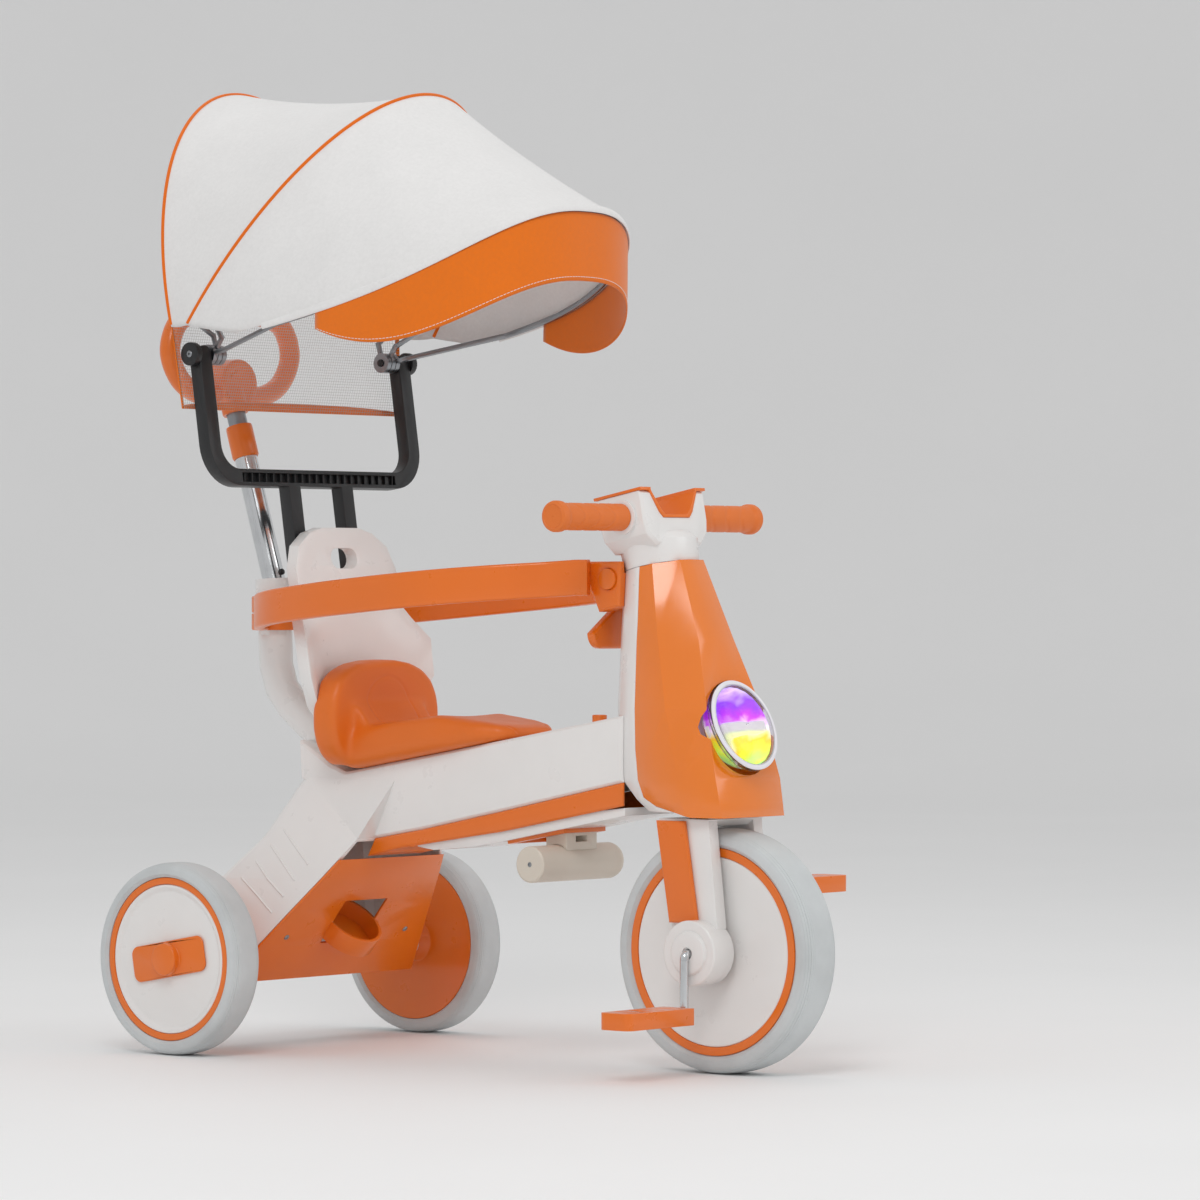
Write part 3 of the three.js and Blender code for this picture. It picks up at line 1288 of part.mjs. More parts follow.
// A closed sheet: outer and inner grids of points joined round their border.
function shellGrid(columns, rows, pointAt) {
  const positions = [];
  const index = [];
  const id = (i, j, layer) => layer * (columns + 1) * (rows + 1) + j * (columns + 1) + i;
  for (const layer of [0, 1]) {
    for (let j = 0; j <= rows; j += 1) {
      for (let i = 0; i <= columns; i += 1) {
        const p = pointAt(i / columns, j / rows, layer);
        positions.push(p.x, p.y, p.z);
      }
    }
  }
  const quad = (a, b, c, d) => index.push(a, b, c, a, c, d);
  for (let j = 0; j < rows; j += 1) {
    for (let i = 0; i < columns; i += 1) {
      quad(id(i, j, 0), id(i + 1, j, 0), id(i + 1, j + 1, 0), id(i, j + 1, 0));
      quad(id(i, j, 1), id(i, j + 1, 1), id(i + 1, j + 1, 1), id(i + 1, j, 1));
    }
  }
  for (let i = 0; i < columns; i += 1) {
    quad(id(i, 0, 0), id(i, 0, 1), id(i + 1, 0, 1), id(i + 1, 0, 0));
    quad(id(i, rows, 0), id(i + 1, rows, 0), id(i + 1, rows, 1), id(i, rows, 1));
  }
  for (let j = 0; j < rows; j += 1) {
    quad(id(0, j, 0), id(0, j + 1, 0), id(0, j + 1, 1), id(0, j, 1));
    quad(id(columns, j, 0), id(columns, j, 1), id(columns, j + 1, 1), id(columns, j + 1, 0));
  }
  const geometry = new THREE.BufferGeometry();
  geometry.setAttribute("position", new THREE.Float32BufferAttribute(positions, 3));
  geometry.setIndex(index);
  return solid(geometry);
}

const FABRIC_LIFT = BOW_R + 2.5;
const EDGE_T = 0.96; // the fabric stops a little short of the pivots

function canopyFabric() {
  const sheet = shellGrid(18, 6, (u, v, layer) => {
    const t = (2 * u - 1) * EDGE_T;
    return fabricPoint(t, 2 * v, FABRIC_LIFT + (layer === 0 ? FABRIC : 0));
  });
  add("canopy_fabric", sheet, CLOTH);
}

const VALANCE_T = 0.82;
function valance() {
  const drop = (t) => 72 * Math.max(0.25, 1 - (Math.abs(t) / VALANCE_T) ** 6 * 0.75);
  const sheet = shellGrid(20, 2, (u, v, layer) => {
    const t = (2 * u - 1) * VALANCE_T;
    const edge = brimEdge(t);
    const centre = new THREE.Vector3(PIVOT.x + 120, 0, edge.z);
    const away = edge.clone().sub(centre).normalize();
    const p = edge.addScaledVector(away, BOW_R + 0.4 + (layer === 0 ? FABRIC : 0));
    p.z -= 1.5 + v * drop(t);
    return p;
  });
  add("canopy_valance", sheet, ORANGE_CLOTH);
}

function bows() {
  const bow = (edge, reach) => {
    const points = [];
    for (let i = 0; i <= 12; i += 1) points.push(edge(reach * (i / 6 - 1)));
    return tube(points, BOW_R, 18, 6);
  };
  const hub = (y0, y1) => rodY(PIVOT.x, PIVOT.z, y0, y1, 11, 12);
  const pin = rodY(PIVOT.x, PIVOT.z, -200, 200, 4 + RUNNING_GAP, 12);
  const arm = (edge, t, y) => {
    const start = edge(t);
    const radial = new THREE.Vector3(start.x - PIVOT.x, 0, start.z - PIVOT.z).normalize();
    const at = (r) => new THREE.Vector3(PIVOT.x + radial.x * r, y, PIVOT.z + radial.z * r);
    return join(rod(at(7), at(24), BOW_R, 6), rod(at(22), start, BOW_R, 6));
  };
  const make = (name, edge, t, y0, y1) => {
    const half = join(hub(y0, y1), arm(edge, t, (y0 + y1) / 2));
    add(name, cut(join(bow(edge, t), half, mirrorY(half)), pin), STEEL);
  };
  make("bow_front", brimEdge, 0.9, 143, 149);
  make("bow_middle", middleEdge, 0.9, 136, 142);
  make("bow_rear", rearEdge, 0.9, 129, 135);
}

// The see-through curtain closes the canopy's back and hangs below the pivots.
function curtain() {
  const low = 686;
  const sheet = shellGrid(14, 5, (u, v, layer) => {
    const t = (2 * u - 1) * 0.9;
    const top = rearEdge(t);
    const away = layer === 0 ? 0 : FABRIC;
    const bottom = new THREE.Vector3(PIVOT.x - 6, top.y * 0.95, low);
    const p = top.lerp(bottom, v);
    p.x -= BOW_R + 0.6 + away;
    return p;
  });
  add("canopy_curtain", sheet, NET);
}

frontWheel();
cranks();
pedal("pedal_right", -1);
pedal("pedal_left", 1);
rearWheel("left", 1);
rearWheel("right", -1);
fork();
steeringHead();
column();
beamShell();
beamTrim();
belly();
rearPanel();
beamButton();
footrest();
seatPad();
seatBack();
rearPost();
pushPole();
guardRails();
guardBlock();
canopyBracket();
canopyFabric();
valance();
bows();
curtain();

// Centre the part over its own footprint.
tricycle.updateMatrixWorld(true);
const bounds = new THREE.Box3().setFromObject(tricycle, true);
assembly.position.x = -(bounds.min.x + bounds.max.x) / 2;

export default tricycle;
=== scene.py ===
"""Looks of a child's tricycle with a sun canopy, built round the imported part."""

import json
import math

import bmesh
import bpy
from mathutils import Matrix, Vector
from mathutils.bvhtree import BVHTree

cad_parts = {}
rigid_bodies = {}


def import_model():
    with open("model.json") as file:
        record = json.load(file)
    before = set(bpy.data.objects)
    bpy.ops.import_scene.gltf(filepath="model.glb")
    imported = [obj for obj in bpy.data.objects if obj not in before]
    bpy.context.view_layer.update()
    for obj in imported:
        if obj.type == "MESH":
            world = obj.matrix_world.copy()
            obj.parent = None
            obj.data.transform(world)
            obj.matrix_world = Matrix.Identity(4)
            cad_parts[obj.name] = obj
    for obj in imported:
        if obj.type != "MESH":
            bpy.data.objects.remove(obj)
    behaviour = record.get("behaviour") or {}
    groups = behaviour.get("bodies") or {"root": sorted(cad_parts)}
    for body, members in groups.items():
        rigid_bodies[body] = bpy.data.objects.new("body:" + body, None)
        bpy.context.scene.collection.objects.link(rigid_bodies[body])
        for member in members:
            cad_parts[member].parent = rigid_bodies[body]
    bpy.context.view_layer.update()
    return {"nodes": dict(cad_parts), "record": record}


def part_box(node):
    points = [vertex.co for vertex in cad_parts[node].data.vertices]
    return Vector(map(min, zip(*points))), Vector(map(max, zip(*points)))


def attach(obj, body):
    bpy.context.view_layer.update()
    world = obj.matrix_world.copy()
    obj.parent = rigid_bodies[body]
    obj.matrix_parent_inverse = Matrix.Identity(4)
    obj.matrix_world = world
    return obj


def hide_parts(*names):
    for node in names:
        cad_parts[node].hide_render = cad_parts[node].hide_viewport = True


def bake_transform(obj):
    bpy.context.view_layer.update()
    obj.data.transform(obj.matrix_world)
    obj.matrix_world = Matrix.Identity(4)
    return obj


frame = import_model()

bl_info = {
    "name": "Canopy tricycle",
    "version": (1, 0, 0),
    "blender": (4, 5, 0),
    "location": "View3D > Sidebar > Tricycle",
    "description": "Wheels, shells, seat, guard rails, push handle and sun canopy of a child's tricycle",
    "category": "Object",
}

MM = 0.001
SIDES = (("left", 1), ("right", -1))


def middle(node):
    low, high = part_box(node)
    return (low + high) / 2


# Lengthways places are laid out from the middle of the wheelbase.
SHIFT = middle("front_tyre").x - 0.293


def place(x, y, z):
    """A point given in millimetres from the middle of the wheelbase, in the row frame."""
    return Vector((x * MM + SHIFT, y * MM, z * MM))


# ---------------------------------------------------------------- materials


def linear(hex_colour):
    """A screen colour as the linear values that a shader takes."""
    channels = [int(hex_colour[i : i + 2], 16) / 255 for i in (0, 2, 4)]
    return [c / 12.92 if c <= 0.04045 else ((c + 0.055) / 1.055) ** 2.4 for c in channels] + [1.0]


class Finish:
    """A node material with short calls for adding and joining its nodes."""

    def __init__(self, name, **constants):
        self.material = bpy.data.materials.new(name)
        self.material.use_nodes = True
        self.tree = self.material.node_tree
        self.shader = self.tree.nodes["Principled BSDF"]
        for socket, value in constants.items():
            self.shader.inputs[socket.replace("_", " ")].default_value = value

    def add(self, kind, inputs=(), **settings):
        node = self.tree.nodes.new("ShaderNode" + kind)
        for key, value in settings.items():
            setattr(node, key, value)
        for key, value in dict(inputs).items():
            if isinstance(value, bpy.types.NodeSocket):
                self.tree.links.new(value, node.inputs[key])
            else:
                node.inputs[key].default_value = value
        return node

    def link(self, output, socket):
        self.tree.links.new(output, self.shader.inputs[socket])

    def noise(self, vector, scale, detail=3.0, roughness=0.55):
        return self.add(
            "TexNoise",
            {"Vector": vector, "Scale": scale, "Detail": detail, "Roughness": roughness},
        )

    def tint(self, factor, dark, light, low=0.3, high=0.7):
        ramp = self.add("ValToRGB", {"Fac": factor})
        ramp.color_ramp.elements[0].position = low
        ramp.color_ramp.elements[0].color = dark
        ramp.color_ramp.elements[1].position = high
        ramp.color_ramp.elements[1].color = light
        return ramp.outputs["Color"]

    def spread(self, value, low, high, start=0.25, end=0.75):
        inputs = {"Value": value, "From Min": start, "From Max": end, "To Min": low, "To Max": high}
        return self.add("MapRange", inputs).outputs["Result"]

    def bump(self, height, strength, distance):
        bump = self.add("Bump", {"Height": height, "Strength": strength, "Distance": distance})
        self.link(bump.outputs["Normal"], "Normal")


def shade(colour, factor):
    return [min(1.0, c * factor) for c in colour[:3]] + [1.0]


def moulded(name, colour, roughness=0.32, grain=0.12, coat=0.3, grain_size=700.0):
    """Moulded plastic: faint flow marks, a fine surface grain and uneven gloss from handling."""
    colour = list(colour)
    finish = Finish(name, Coat_Weight=coat, Coat_Roughness=0.12, IOR=1.5)
    where = finish.add("TexCoord").outputs["Object"]
    flow = finish.noise(where, 7.0, 4.0)
    handling = finish.noise(where, 38.0, 5.0)
    grains = finish.noise(where, grain_size, 2.0)
    finish.link(finish.tint(flow.outputs["Fac"], shade(colour, 0.955), shade(colour, 1.02)), "Base Color")
    finish.link(finish.spread(handling.outputs["Fac"], roughness - 0.05, roughness + 0.07), "Roughness")
    finish.bump(grains.outputs["Fac"], grain, 0.0002)
    return finish.material


def tyre_foam(name, colour):
    """Pale grey foam rubber: matt, slightly mottled and dusty."""
    finish = Finish(name, Sheen_Weight=0.15, Sheen_Roughness=0.5, IOR=1.45)
    where = finish.add("TexCoord").outputs["Object"]
    dust = finish.noise(where, 16.0, 6.0)
    pores = finish.add("TexVoronoi", {"Vector": where, "Scale": 900.0})
    finish.link(finish.tint(dust.outputs["Fac"], shade(colour, 0.9), shade(colour, 1.06)), "Base Color")
    finish.link(finish.spread(dust.outputs["Fac"], 0.62, 0.82), "Roughness")
    finish.bump(pores.outputs["Distance"], 0.25, 0.0003)
    return finish.material


def polished_metal(name, colour, roughness, brushed):
    """Plated or drawn steel: stretched fine scratches and faint smears."""
    finish = Finish(name, Metallic=1.0)
    where = finish.add("TexCoord").outputs["Object"]
    turned = finish.add("Mapping", {"Vector": where, "Scale": (1.0, 1.0, 0.04 if brushed else 0.3)})
    scratches = finish.noise(turned.outputs["Vector"], 1400.0, 2.0)
    smears = finish.noise(where, 45.0, 4.0)
    colour = list(colour)
    finish.link(finish.tint(smears.outputs["Fac"], shade(colour, 0.9), colour), "Base Color")
    finish.link(finish.spread(smears.outputs["Fac"], roughness, roughness + 0.1), "Roughness")
    finish.bump(scratches.outputs["Fac"], 0.2 if brushed else 0.04, 0.0001)
    return finish.material


def woven(name, colour, pitch=0.0011, depth=0.35, sheen=0.35, alpha=1.0):
    """Plain woven cloth: over and under threads along the piece's own map, uneven dye, soft sheen."""
    colour = list(colour)
    finish = Finish(name, Sheen_Weight=sheen, Sheen_Roughness=0.45, Specular_IOR_Level=0.25, Alpha=alpha)
    coord = finish.add("TexCoord")
    threads = []
    for direction in ("X", "Y"):
        wave = finish.add(
            "TexWave",
            {"Vector": coord.outputs["UV"], "Scale": 0.314 / pitch, "Distortion": 0.6, "Detail": 1.0},
            wave_type="BANDS",
            bands_direction=direction,
        )
        threads.append(wave.outputs["Fac"])
    weave = finish.add("Math", {0: threads[0], 1: threads[1]}, operation="MULTIPLY")
    dye = finish.noise(coord.outputs["Object"], 11.0, 5.0)
    slub = finish.noise(coord.outputs["Object"], 260.0, 3.0)
    both = finish.add("Math", {0: dye.outputs["Fac"], 1: slub.outputs["Fac"]}, operation="ADD")
    half = finish.add("Math", {0: both.outputs["Value"], 1: 0.5}, operation="MULTIPLY")
    finish.link(finish.tint(half.outputs["Value"], shade(colour, 0.93), shade(colour, 1.03)), "Base Color")
    finish.link(finish.spread(slub.outputs["Fac"], 0.72, 0.9), "Roughness")
    finish.bump(weave.outputs["Value"], depth, 0.0002)
    return finish.material


def clear_plastic(name, tint, roughness=0.04):
    """Clear moulded plastic with faint flow ripples."""
    finish = Finish(name, Transmission_Weight=1.0, IOR=1.46)
    where = finish.add("TexCoord").outputs["Object"]
    ripples = finish.noise(where, 60.0, 3.0)
    finish.link(finish.tint(ripples.outputs["Fac"], shade(tint, 0.97), list(tint)), "Base Color")
    finish.link(finish.spread(ripples.outputs["Fac"], roughness, roughness + 0.05), "Roughness")
    finish.bump(ripples.outputs["Fac"], 0.08, 0.0004)
    return finish.material


def painted_glow_reflector(name, centre, half_height):
    """The reflector: violet above, white across the middle, yellow and green below, all given off as a
    painted glow that stands in for the light the clear cup keeps out.
    """
    finish = Finish(name, Roughness=0.25, Metallic=0.3, Emission_Strength=0.85)
    where = finish.add("TexCoord").outputs["Object"]
    shift = [-c for c in centre]
    placed = finish.add("Mapping", {"Vector": where, "Location": shift})
    parts = finish.add("SeparateXYZ", {"Vector": placed.outputs["Vector"]})
    height = finish.spread(parts.outputs["Z"], 0.0, 1.0, -half_height, half_height)
    patches = finish.noise(where, 55.0, 2.0)
    wobble = finish.spread(patches.outputs["Fac"], -0.12, 0.12)
    mixed = finish.add("Math", {0: height, 1: wobble}, operation="ADD")
    ramp = finish.add("ValToRGB", {"Fac": mixed.outputs["Value"]})
    stops = [
        (0.0, "8fe08a"), (0.18, "d6ee3c"), (0.33, "f7c51e"), (0.46, "f3e9c0"), (0.54, "f6e8fb"),
        (0.66, "c22bea"), (0.82, "8a2be8"), (1.0, "d9c9f7"),
    ]
    elements = ramp.color_ramp.elements
    elements[0].position, elements[0].color = stops[0][0], linear(stops[0][1])
    elements[1].position, elements[1].color = stops[-1][0], linear(stops[-1][1])
    for position, colour in stops[1:-1]:
        elements.new(position).color = linear(colour)
    finish.link(ramp.outputs["Color"], "Base Color")
    finish.link(ramp.outputs["Color"], "Emission Color")
    finish.bump(patches.outputs["Fac"], 0.3, 0.001)
    return finish.material


def painted_glow_bar(name, colour, painted_glow=0.55):
    """White bar of the lamp: faint flow marks in an even painted glow, which stands in for the light that
    the clear dome keeps from it.
    """
    finish = Finish(name, Roughness=0.35, Emission_Strength=painted_glow)
    where = finish.add("TexCoord").outputs["Object"]
    flow = finish.noise(where, 40.0, 3.0)
    colour = finish.tint(flow.outputs["Fac"], shade(colour, 0.94), list(colour))
    finish.link(colour, "Base Color")
    finish.link(colour, "Emission Color")
    return finish.material


def plain_floor(name, colour):
    finish = Finish(name, Specular_IOR_Level=0.2)
    where = finish.add("TexCoord").outputs["Object"]
    cloudy = finish.noise(where, 1.5, 4.0)
    finish.link(finish.tint(cloudy.outputs["Fac"], shade(colour, 0.985), list(colour)), "Base Color")
    finish.link(finish.spread(cloudy.outputs["Fac"], 0.6, 0.7), "Roughness")
    return finish.material


LAMP_CENTRE = place(308, 0, 352)
MAKERS = {
    "white": lambda: moulded("white_plastic", colours().white_plastic, 0.3, 0.1),
    "orange": lambda: moulded("orange_plastic", colours().orange_plastic, 0.3, 0.1),
    "shield": lambda: moulded("orange_shield_gloss", colours().shield_orange, 0.16, 0.03, 0.8),
    "grip": lambda: moulded("orange_grip_rubber", colours().grip_orange, 0.48, 0.4, 0.0, 420.0),
    "cream": lambda: moulded("cream_plastic", colours().cream_plastic, 0.45, 0.2, 0.05),
    "black": lambda: moulded("black_nylon", colours().black_nylon, 0.42, 0.35, 0.1, 520.0),
    "tyre": lambda: tyre_foam("grey_tyre_foam", colours().tyre_grey),
    "chrome": lambda: polished_metal("chrome_plate", colours().chrome, 0.08, False),
    "steel": lambda: polished_metal("drawn_steel", colours().steel, 0.28, True),
    "cloth": lambda: woven("white_canopy_cloth", colours().canopy_white),
    "band": lambda: woven("orange_canopy_cloth", colours().band_orange),
    "piping": lambda: woven("orange_piping", colours().piping_orange, 0.0008),
    "net": lambda: woven("white_net_thread", colours().net_white, 0.0006, alpha=0.55),
    "pad": lambda: moulded("orange_seat_skin", colours().seat_orange, 0.42, 0.5, 0.05, 340.0),
    "clear": lambda: clear_plastic("clear_lamp_plastic", colours().lamp_clear),
    # The reflector's colours also shine as a painted glow, in place of the light the clear cup keeps out
    "painted_glow": lambda: painted_glow_reflector("painted_glow_reflector", LAMP_CENTRE, 0.036),
    # The rim and the cross bar shine with a painted glow in place of the light the clear parts keep from
    # them
    "painted_glow_rim": lambda: painted_glow_bar("lamp_rim", shade(colours().lamp_clear, 0.75), 0.25),
    "painted_glow_bar": lambda: painted_glow_bar("lamp_bar", colours().white_plastic),
    "floor": lambda: plain_floor("studio_floor", colours().floor_white),
}
_made = {}


def material(key):
    if key not in _made:
        _made[key] = MAKERS[key]()
    return _made[key]


NODE_FINISH = {
    "tyre": ["front_tyre", "rear_tyre_left", "rear_tyre_right"],
    "orange": [
        "front_rim", "pedal_left", "pedal_right", "rear_rim_left", "rear_rim_right",
        "rear_cap_left", "rear_cap_right", "fork_cover_left", "fork_cover_right", "tray_liner",
        "beam_trim", "rear_panel", "beam_button", "pole_sleeve", "push_handle", "guard_rail_left",
        "guard_rail_right", "guard_block", "guard_button_left", "guard_button_right",
    ],
    "shield": ["front_shield"],
    "grip": ["grip_left", "grip_right"],
    "white": [
        "front_disc_left", "front_disc_right", "rear_disc_left", "rear_disc_right", "fork",
        "handlebar_housing", "column_shell", "beam_shell", "belly", "seat_back", "rear_post",
    ],
    "chrome": ["pedal_crank", "push_tube"],
    "steel": [
        "steering_stem", "handlebar_tube", "rear_axle", "pole_inner", "bow_front", "bow_middle",
        "bow_rear",
    ],
    "black": [
        "stem_bush_lower", "stem_bush_upper", "pole_button", "canopy_bracket", "pivot_knob_left",
        "pivot_knob_right",
    ],
    "cream": ["footrest_stem", "footrest_bar"],
    "clear": ["lamp_housing", "lamp_lens"],
    "pad": ["seat_pad"],
    "cloth": ["canopy_fabric"],
    "band": ["canopy_valance"],
    "net": ["canopy_curtain"],
}
FINISH_OF = {node: key for key, nodes in NODE_FINISH.items() for node in nodes}
BODY_OF = {node: body for body, nodes in frame["record"]["behaviour"]["bodies"].items() for node in nodes}

# ---------------------------------------------------------------- shapes


def mesh_object(name, points, faces, finish):
    """A new object from points and faces, with its normals outward and its round parts smooth."""
    mesh = bpy.data.meshes.new(name)
    mesh.from_pydata([tuple(p) for p in points], [], faces)
    work = bmesh.new()
    work.from_mesh(mesh)
    bmesh.ops.remove_doubles(work, verts=work.verts, dist=1e-6)
    bmesh.ops.recalc_face_normals(work, faces=work.faces)
    work.to_mesh(mesh)
    work.free()
    return finished_object(name, mesh, finish)


def finished_object(name, mesh, finish, smooth_angle=35.0):
    mesh.name = name
    for polygon in mesh.polygons:
        polygon.use_smooth = True
    mesh.set_sharp_from_angle(angle=math.radians(smooth_angle))
    obj = bpy.data.objects.new(name, mesh)
    bpy.context.scene.collection.objects.link(obj)
    mesh.materials.clear()
    mesh.materials.append(material(finish))
    return obj


def baked(obj):
    """The object's modifiers worked into a plain mesh."""
    graph = bpy.context.evaluated_depsgraph_get()
    mesh = bpy.data.meshes.new_from_object(obj.evaluated_get(graph))
    obj.modifiers.clear()
    obj.data = mesh
    return obj


def settle(obj, body, finish, *nodes):
    """The piece rides on its body and stands for its CAD nodes."""
    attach(obj, body)
    if nodes:
        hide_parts(*nodes)
    return obj


BEVELLED_OVER = math.radians(32)
SHARP_OVER = math.radians(42)


def refined(node, bevel=0.8, joined=True):
    """A CAD node with its flat faces joined, its edges rounded over and its curves shaded smooth."""
    mesh = frame["nodes"][node].data.copy()
    work = bmesh.new()
    work.from_mesh(mesh)
    bmesh.ops.remove_doubles(work, verts=work.verts, dist=0.00006)
    bmesh.ops.dissolve_degenerate(work, edges=work.edges, dist=0.00002)
    if joined:
        bmesh.ops.dissolve_limit(work, angle_limit=math.radians(0.05), verts=work.verts, edges=work.edges)
    work.to_mesh(mesh)
    work.free()
    finish = FINISH_OF[node]
    obj = finished_object(node + "_piece", mesh, finish)
    if bevel:
        round_over = obj.modifiers.new("Round over", "BEVEL")
        round_over.width = bevel * MM
        round_over.segments = 2
        round_over.limit_method = "ANGLE"
        round_over.angle_limit = BEVELLED_OVER
        round_over.use_clamp_overlap = True
        baked(obj)
        obj.data.set_sharp_from_angle(angle=SHARP_OVER)
    return settle(obj, BODY_OF[node], finish, node)


def basis(direction):
    """Two directions square to the given one."""
    along = Vector(direction).normalized()
    side = along.orthogonal().normalized()
    if abs(along.z) < 0.99:
        side = Vector((0, 0, 1)).cross(along).normalized()
    return along, side, along.cross(side)


def turned(name, profile, origin, direction, finish, segments=96, swell=None):
    """A turned piece: profile points are (radius, distance along the axis) in millimetres."""
    along, side, up = basis(direction)
    origin = Vector(origin)
    points = []
    for r, h in profile:
        for k in range(segments):
            angle = 2 * math.pi * k / segments
            reach = r + (swell(angle, h) if swell else 0.0)
            outward = side * math.cos(angle) + up * math.sin(angle)
            points.append(origin + along * h * MM + outward * reach * MM)
    faces = []
    count = len(profile)
    for i in range(count):
        j = (i + 1) % count
        for k in range(segments):
            m = (k + 1) % segments
            faces.append((i * segments + k, i * segments + m, j * segments + m, j * segments + k))
    return mesh_object(name, points, faces, finish)


def spline(points, steps, closed=False):
    """Evenly spaced points along a smooth curve through the given ones."""
    path = [Vector(p) for p in points]
    if closed:
        ring = [path[-1]] + path + path[:2]
    else:
        ring = [2 * path[0] - path[1]] + path + [2 * path[-1] - path[-2]]
    fine = []
    for a, b, c, d in zip(ring, ring[1:], ring[2:], ring[3:]):
        t0, t1 = 0.0, (b - a).length ** 0.5
        t2 = t1 + (c - b).length ** 0.5
        t3 = t2 + (d - c).length ** 0.5
        for k in range(24):
            t = t1 + (t2 - t1) * k / 24
            a1 = a * (t1 - t) / (t1 - t0) + b * (t - t0) / (t1 - t0)
            a2 = b * (t2 - t) / (t2 - t1) + c * (t - t1) / (t2 - t1)
            a3 = c * (t3 - t) / (t3 - t2) + d * (t - t2) / (t3 - t2)
            b1 = a1 * (t2 - t) / (t2 - t0) + a2 * (t - t0) / (t2 - t0)
            b2 = a2 * (t3 - t) / (t3 - t1) + a3 * (t - t1) / (t3 - t1)
            fine.append(b1 * (t2 - t) / (t2 - t1) + b2 * (t - t1) / (t2 - t1))
    fine.append(path[0].copy() if closed else path[-1].copy())
    lengths = [0.0]
    for a, b in zip(fine, fine[1:]):
        lengths.append(lengths[-1] + (b - a).length)
    out, i = [], 0
    for k in range(steps + (0 if closed else 1)):
        want = lengths[-1] * k / steps
        while i + 2 < len(fine) and lengths[i + 1] < want:
            i += 1
        span = lengths[i + 1] - lengths[i]
        out.append(fine[i].lerp(fine[i + 1], (want - lengths[i]) / span if span else 0.0))
    return out


def tangents(path, closed=False):
    out = []
    last = len(path) - 1
    for i in range(len(path)):
        a = path[i - 1] if i or closed else path[0]
        b = path[(i + 1) % len(path)] if i < last or closed else path[last]
        out.append((b - a).normalized())
    return out


def swept(name, path, section, finish, closed=False):
    """A section carried along a path; section(i) gives its (side, up) points in metres."""
    along = tangents(path, closed)
    up = Vector((0, 0, 1)) if abs(along[0].z) < 0.9 else Vector((1, 0, 0))
    points, faces = [], []
    count = 0
    for i, (p, t) in enumerate(zip(path, along)):
        up = (up - t * up.dot(t)).normalized()
        side = up.cross(t)
        ring = section(i)
        count = len(ring)
        points += [p + side * a + up * b for a, b in ring]
    rows = len(path)
    for i in range(rows if closed else rows - 1):
        j = (i + 1) % rows
        for k in range(count):
            m = (k + 1) % count
            faces.append((i * count + k, i * count + m, j * count + m, j * count + k))
    if not closed:
        faces.append(tuple(range(count)))
        faces.append(tuple((rows - 1) * count + k for k in reversed(range(count))))
    return mesh_object(name, points, faces, finish)


def circle(radius, sides):
    turns = [2 * math.pi * k / sides for k in range(sides)]
    return [(radius * math.cos(turn), radius * math.sin(turn)) for turn in turns]


def bent_rod(name, corners, radius, bend, finish, sides=20):
    """A rod through corner points with a rounded bend at each."""
    corners = [Vector(c) for c in corners]
    path = [corners[0]]
    for a, b, c in zip(corners, corners[1:], corners[2:]):
        into, away = (a - b).normalized(), (c - b).normalized()
        start, end = b + into * bend, b + away * bend
        for k in range(9):
            t = k / 8
            path.append(start * (1 - t) ** 2 + b * 2 * t * (1 - t) + end * t * t)
    path.append(corners[-1])
    return swept(name, path, lambda i: circle(radius, sides), finish)


def sheet_mesh(name, columns, rows, point, finish, thickness):
    """A cloth sheet with its own map in metres; point(u, v) gives its middle surface."""
    points = [point(i / columns, j / rows) for j in range(rows + 1) for i in range(columns + 1)]
    mesh = bpy.data.meshes.new(name)
    faces = []
    for j in range(rows):
        for i in range(columns):
            a = j * (columns + 1) + i
            faces.append((a, a + 1, a + columns + 2, a + columns + 1))
    mesh.from_pydata([tuple(p) for p in points], [], faces)
    centre = columns // 2
    lengths_v = [0.0]
    for j in range(rows):
        a, b = points[j * (columns + 1) + centre], points[(j + 1) * (columns + 1) + centre]
        lengths_v.append(lengths_v[-1] + (b - a).length)
    uv = mesh.uv_layers.new(name="UVMap")
    across = []
    for j in range(rows + 1):
        row = [0.0]
        for i in range(columns):
            a, b = points[j * (columns + 1) + i], points[j * (columns + 1) + i + 1]
            row.append(row[-1] + (b - a).length)
        across.append(row)
    for polygon in mesh.polygons:
        for loop in polygon.loop_indices:
            v = mesh.loops[loop].vertex_index
            j, i = divmod(v, columns + 1)
            uv.data[loop].uv = (across[j][i], lengths_v[j])
    obj = finished_object(name, mesh, finish, 60.0)
    wall = obj.modifiers.new("Cloth thickness", "SOLIDIFY")
    wall.thickness = thickness
    wall.offset = 0.0
    return baked(obj)


# ---------------------------------------------------------------- node trees


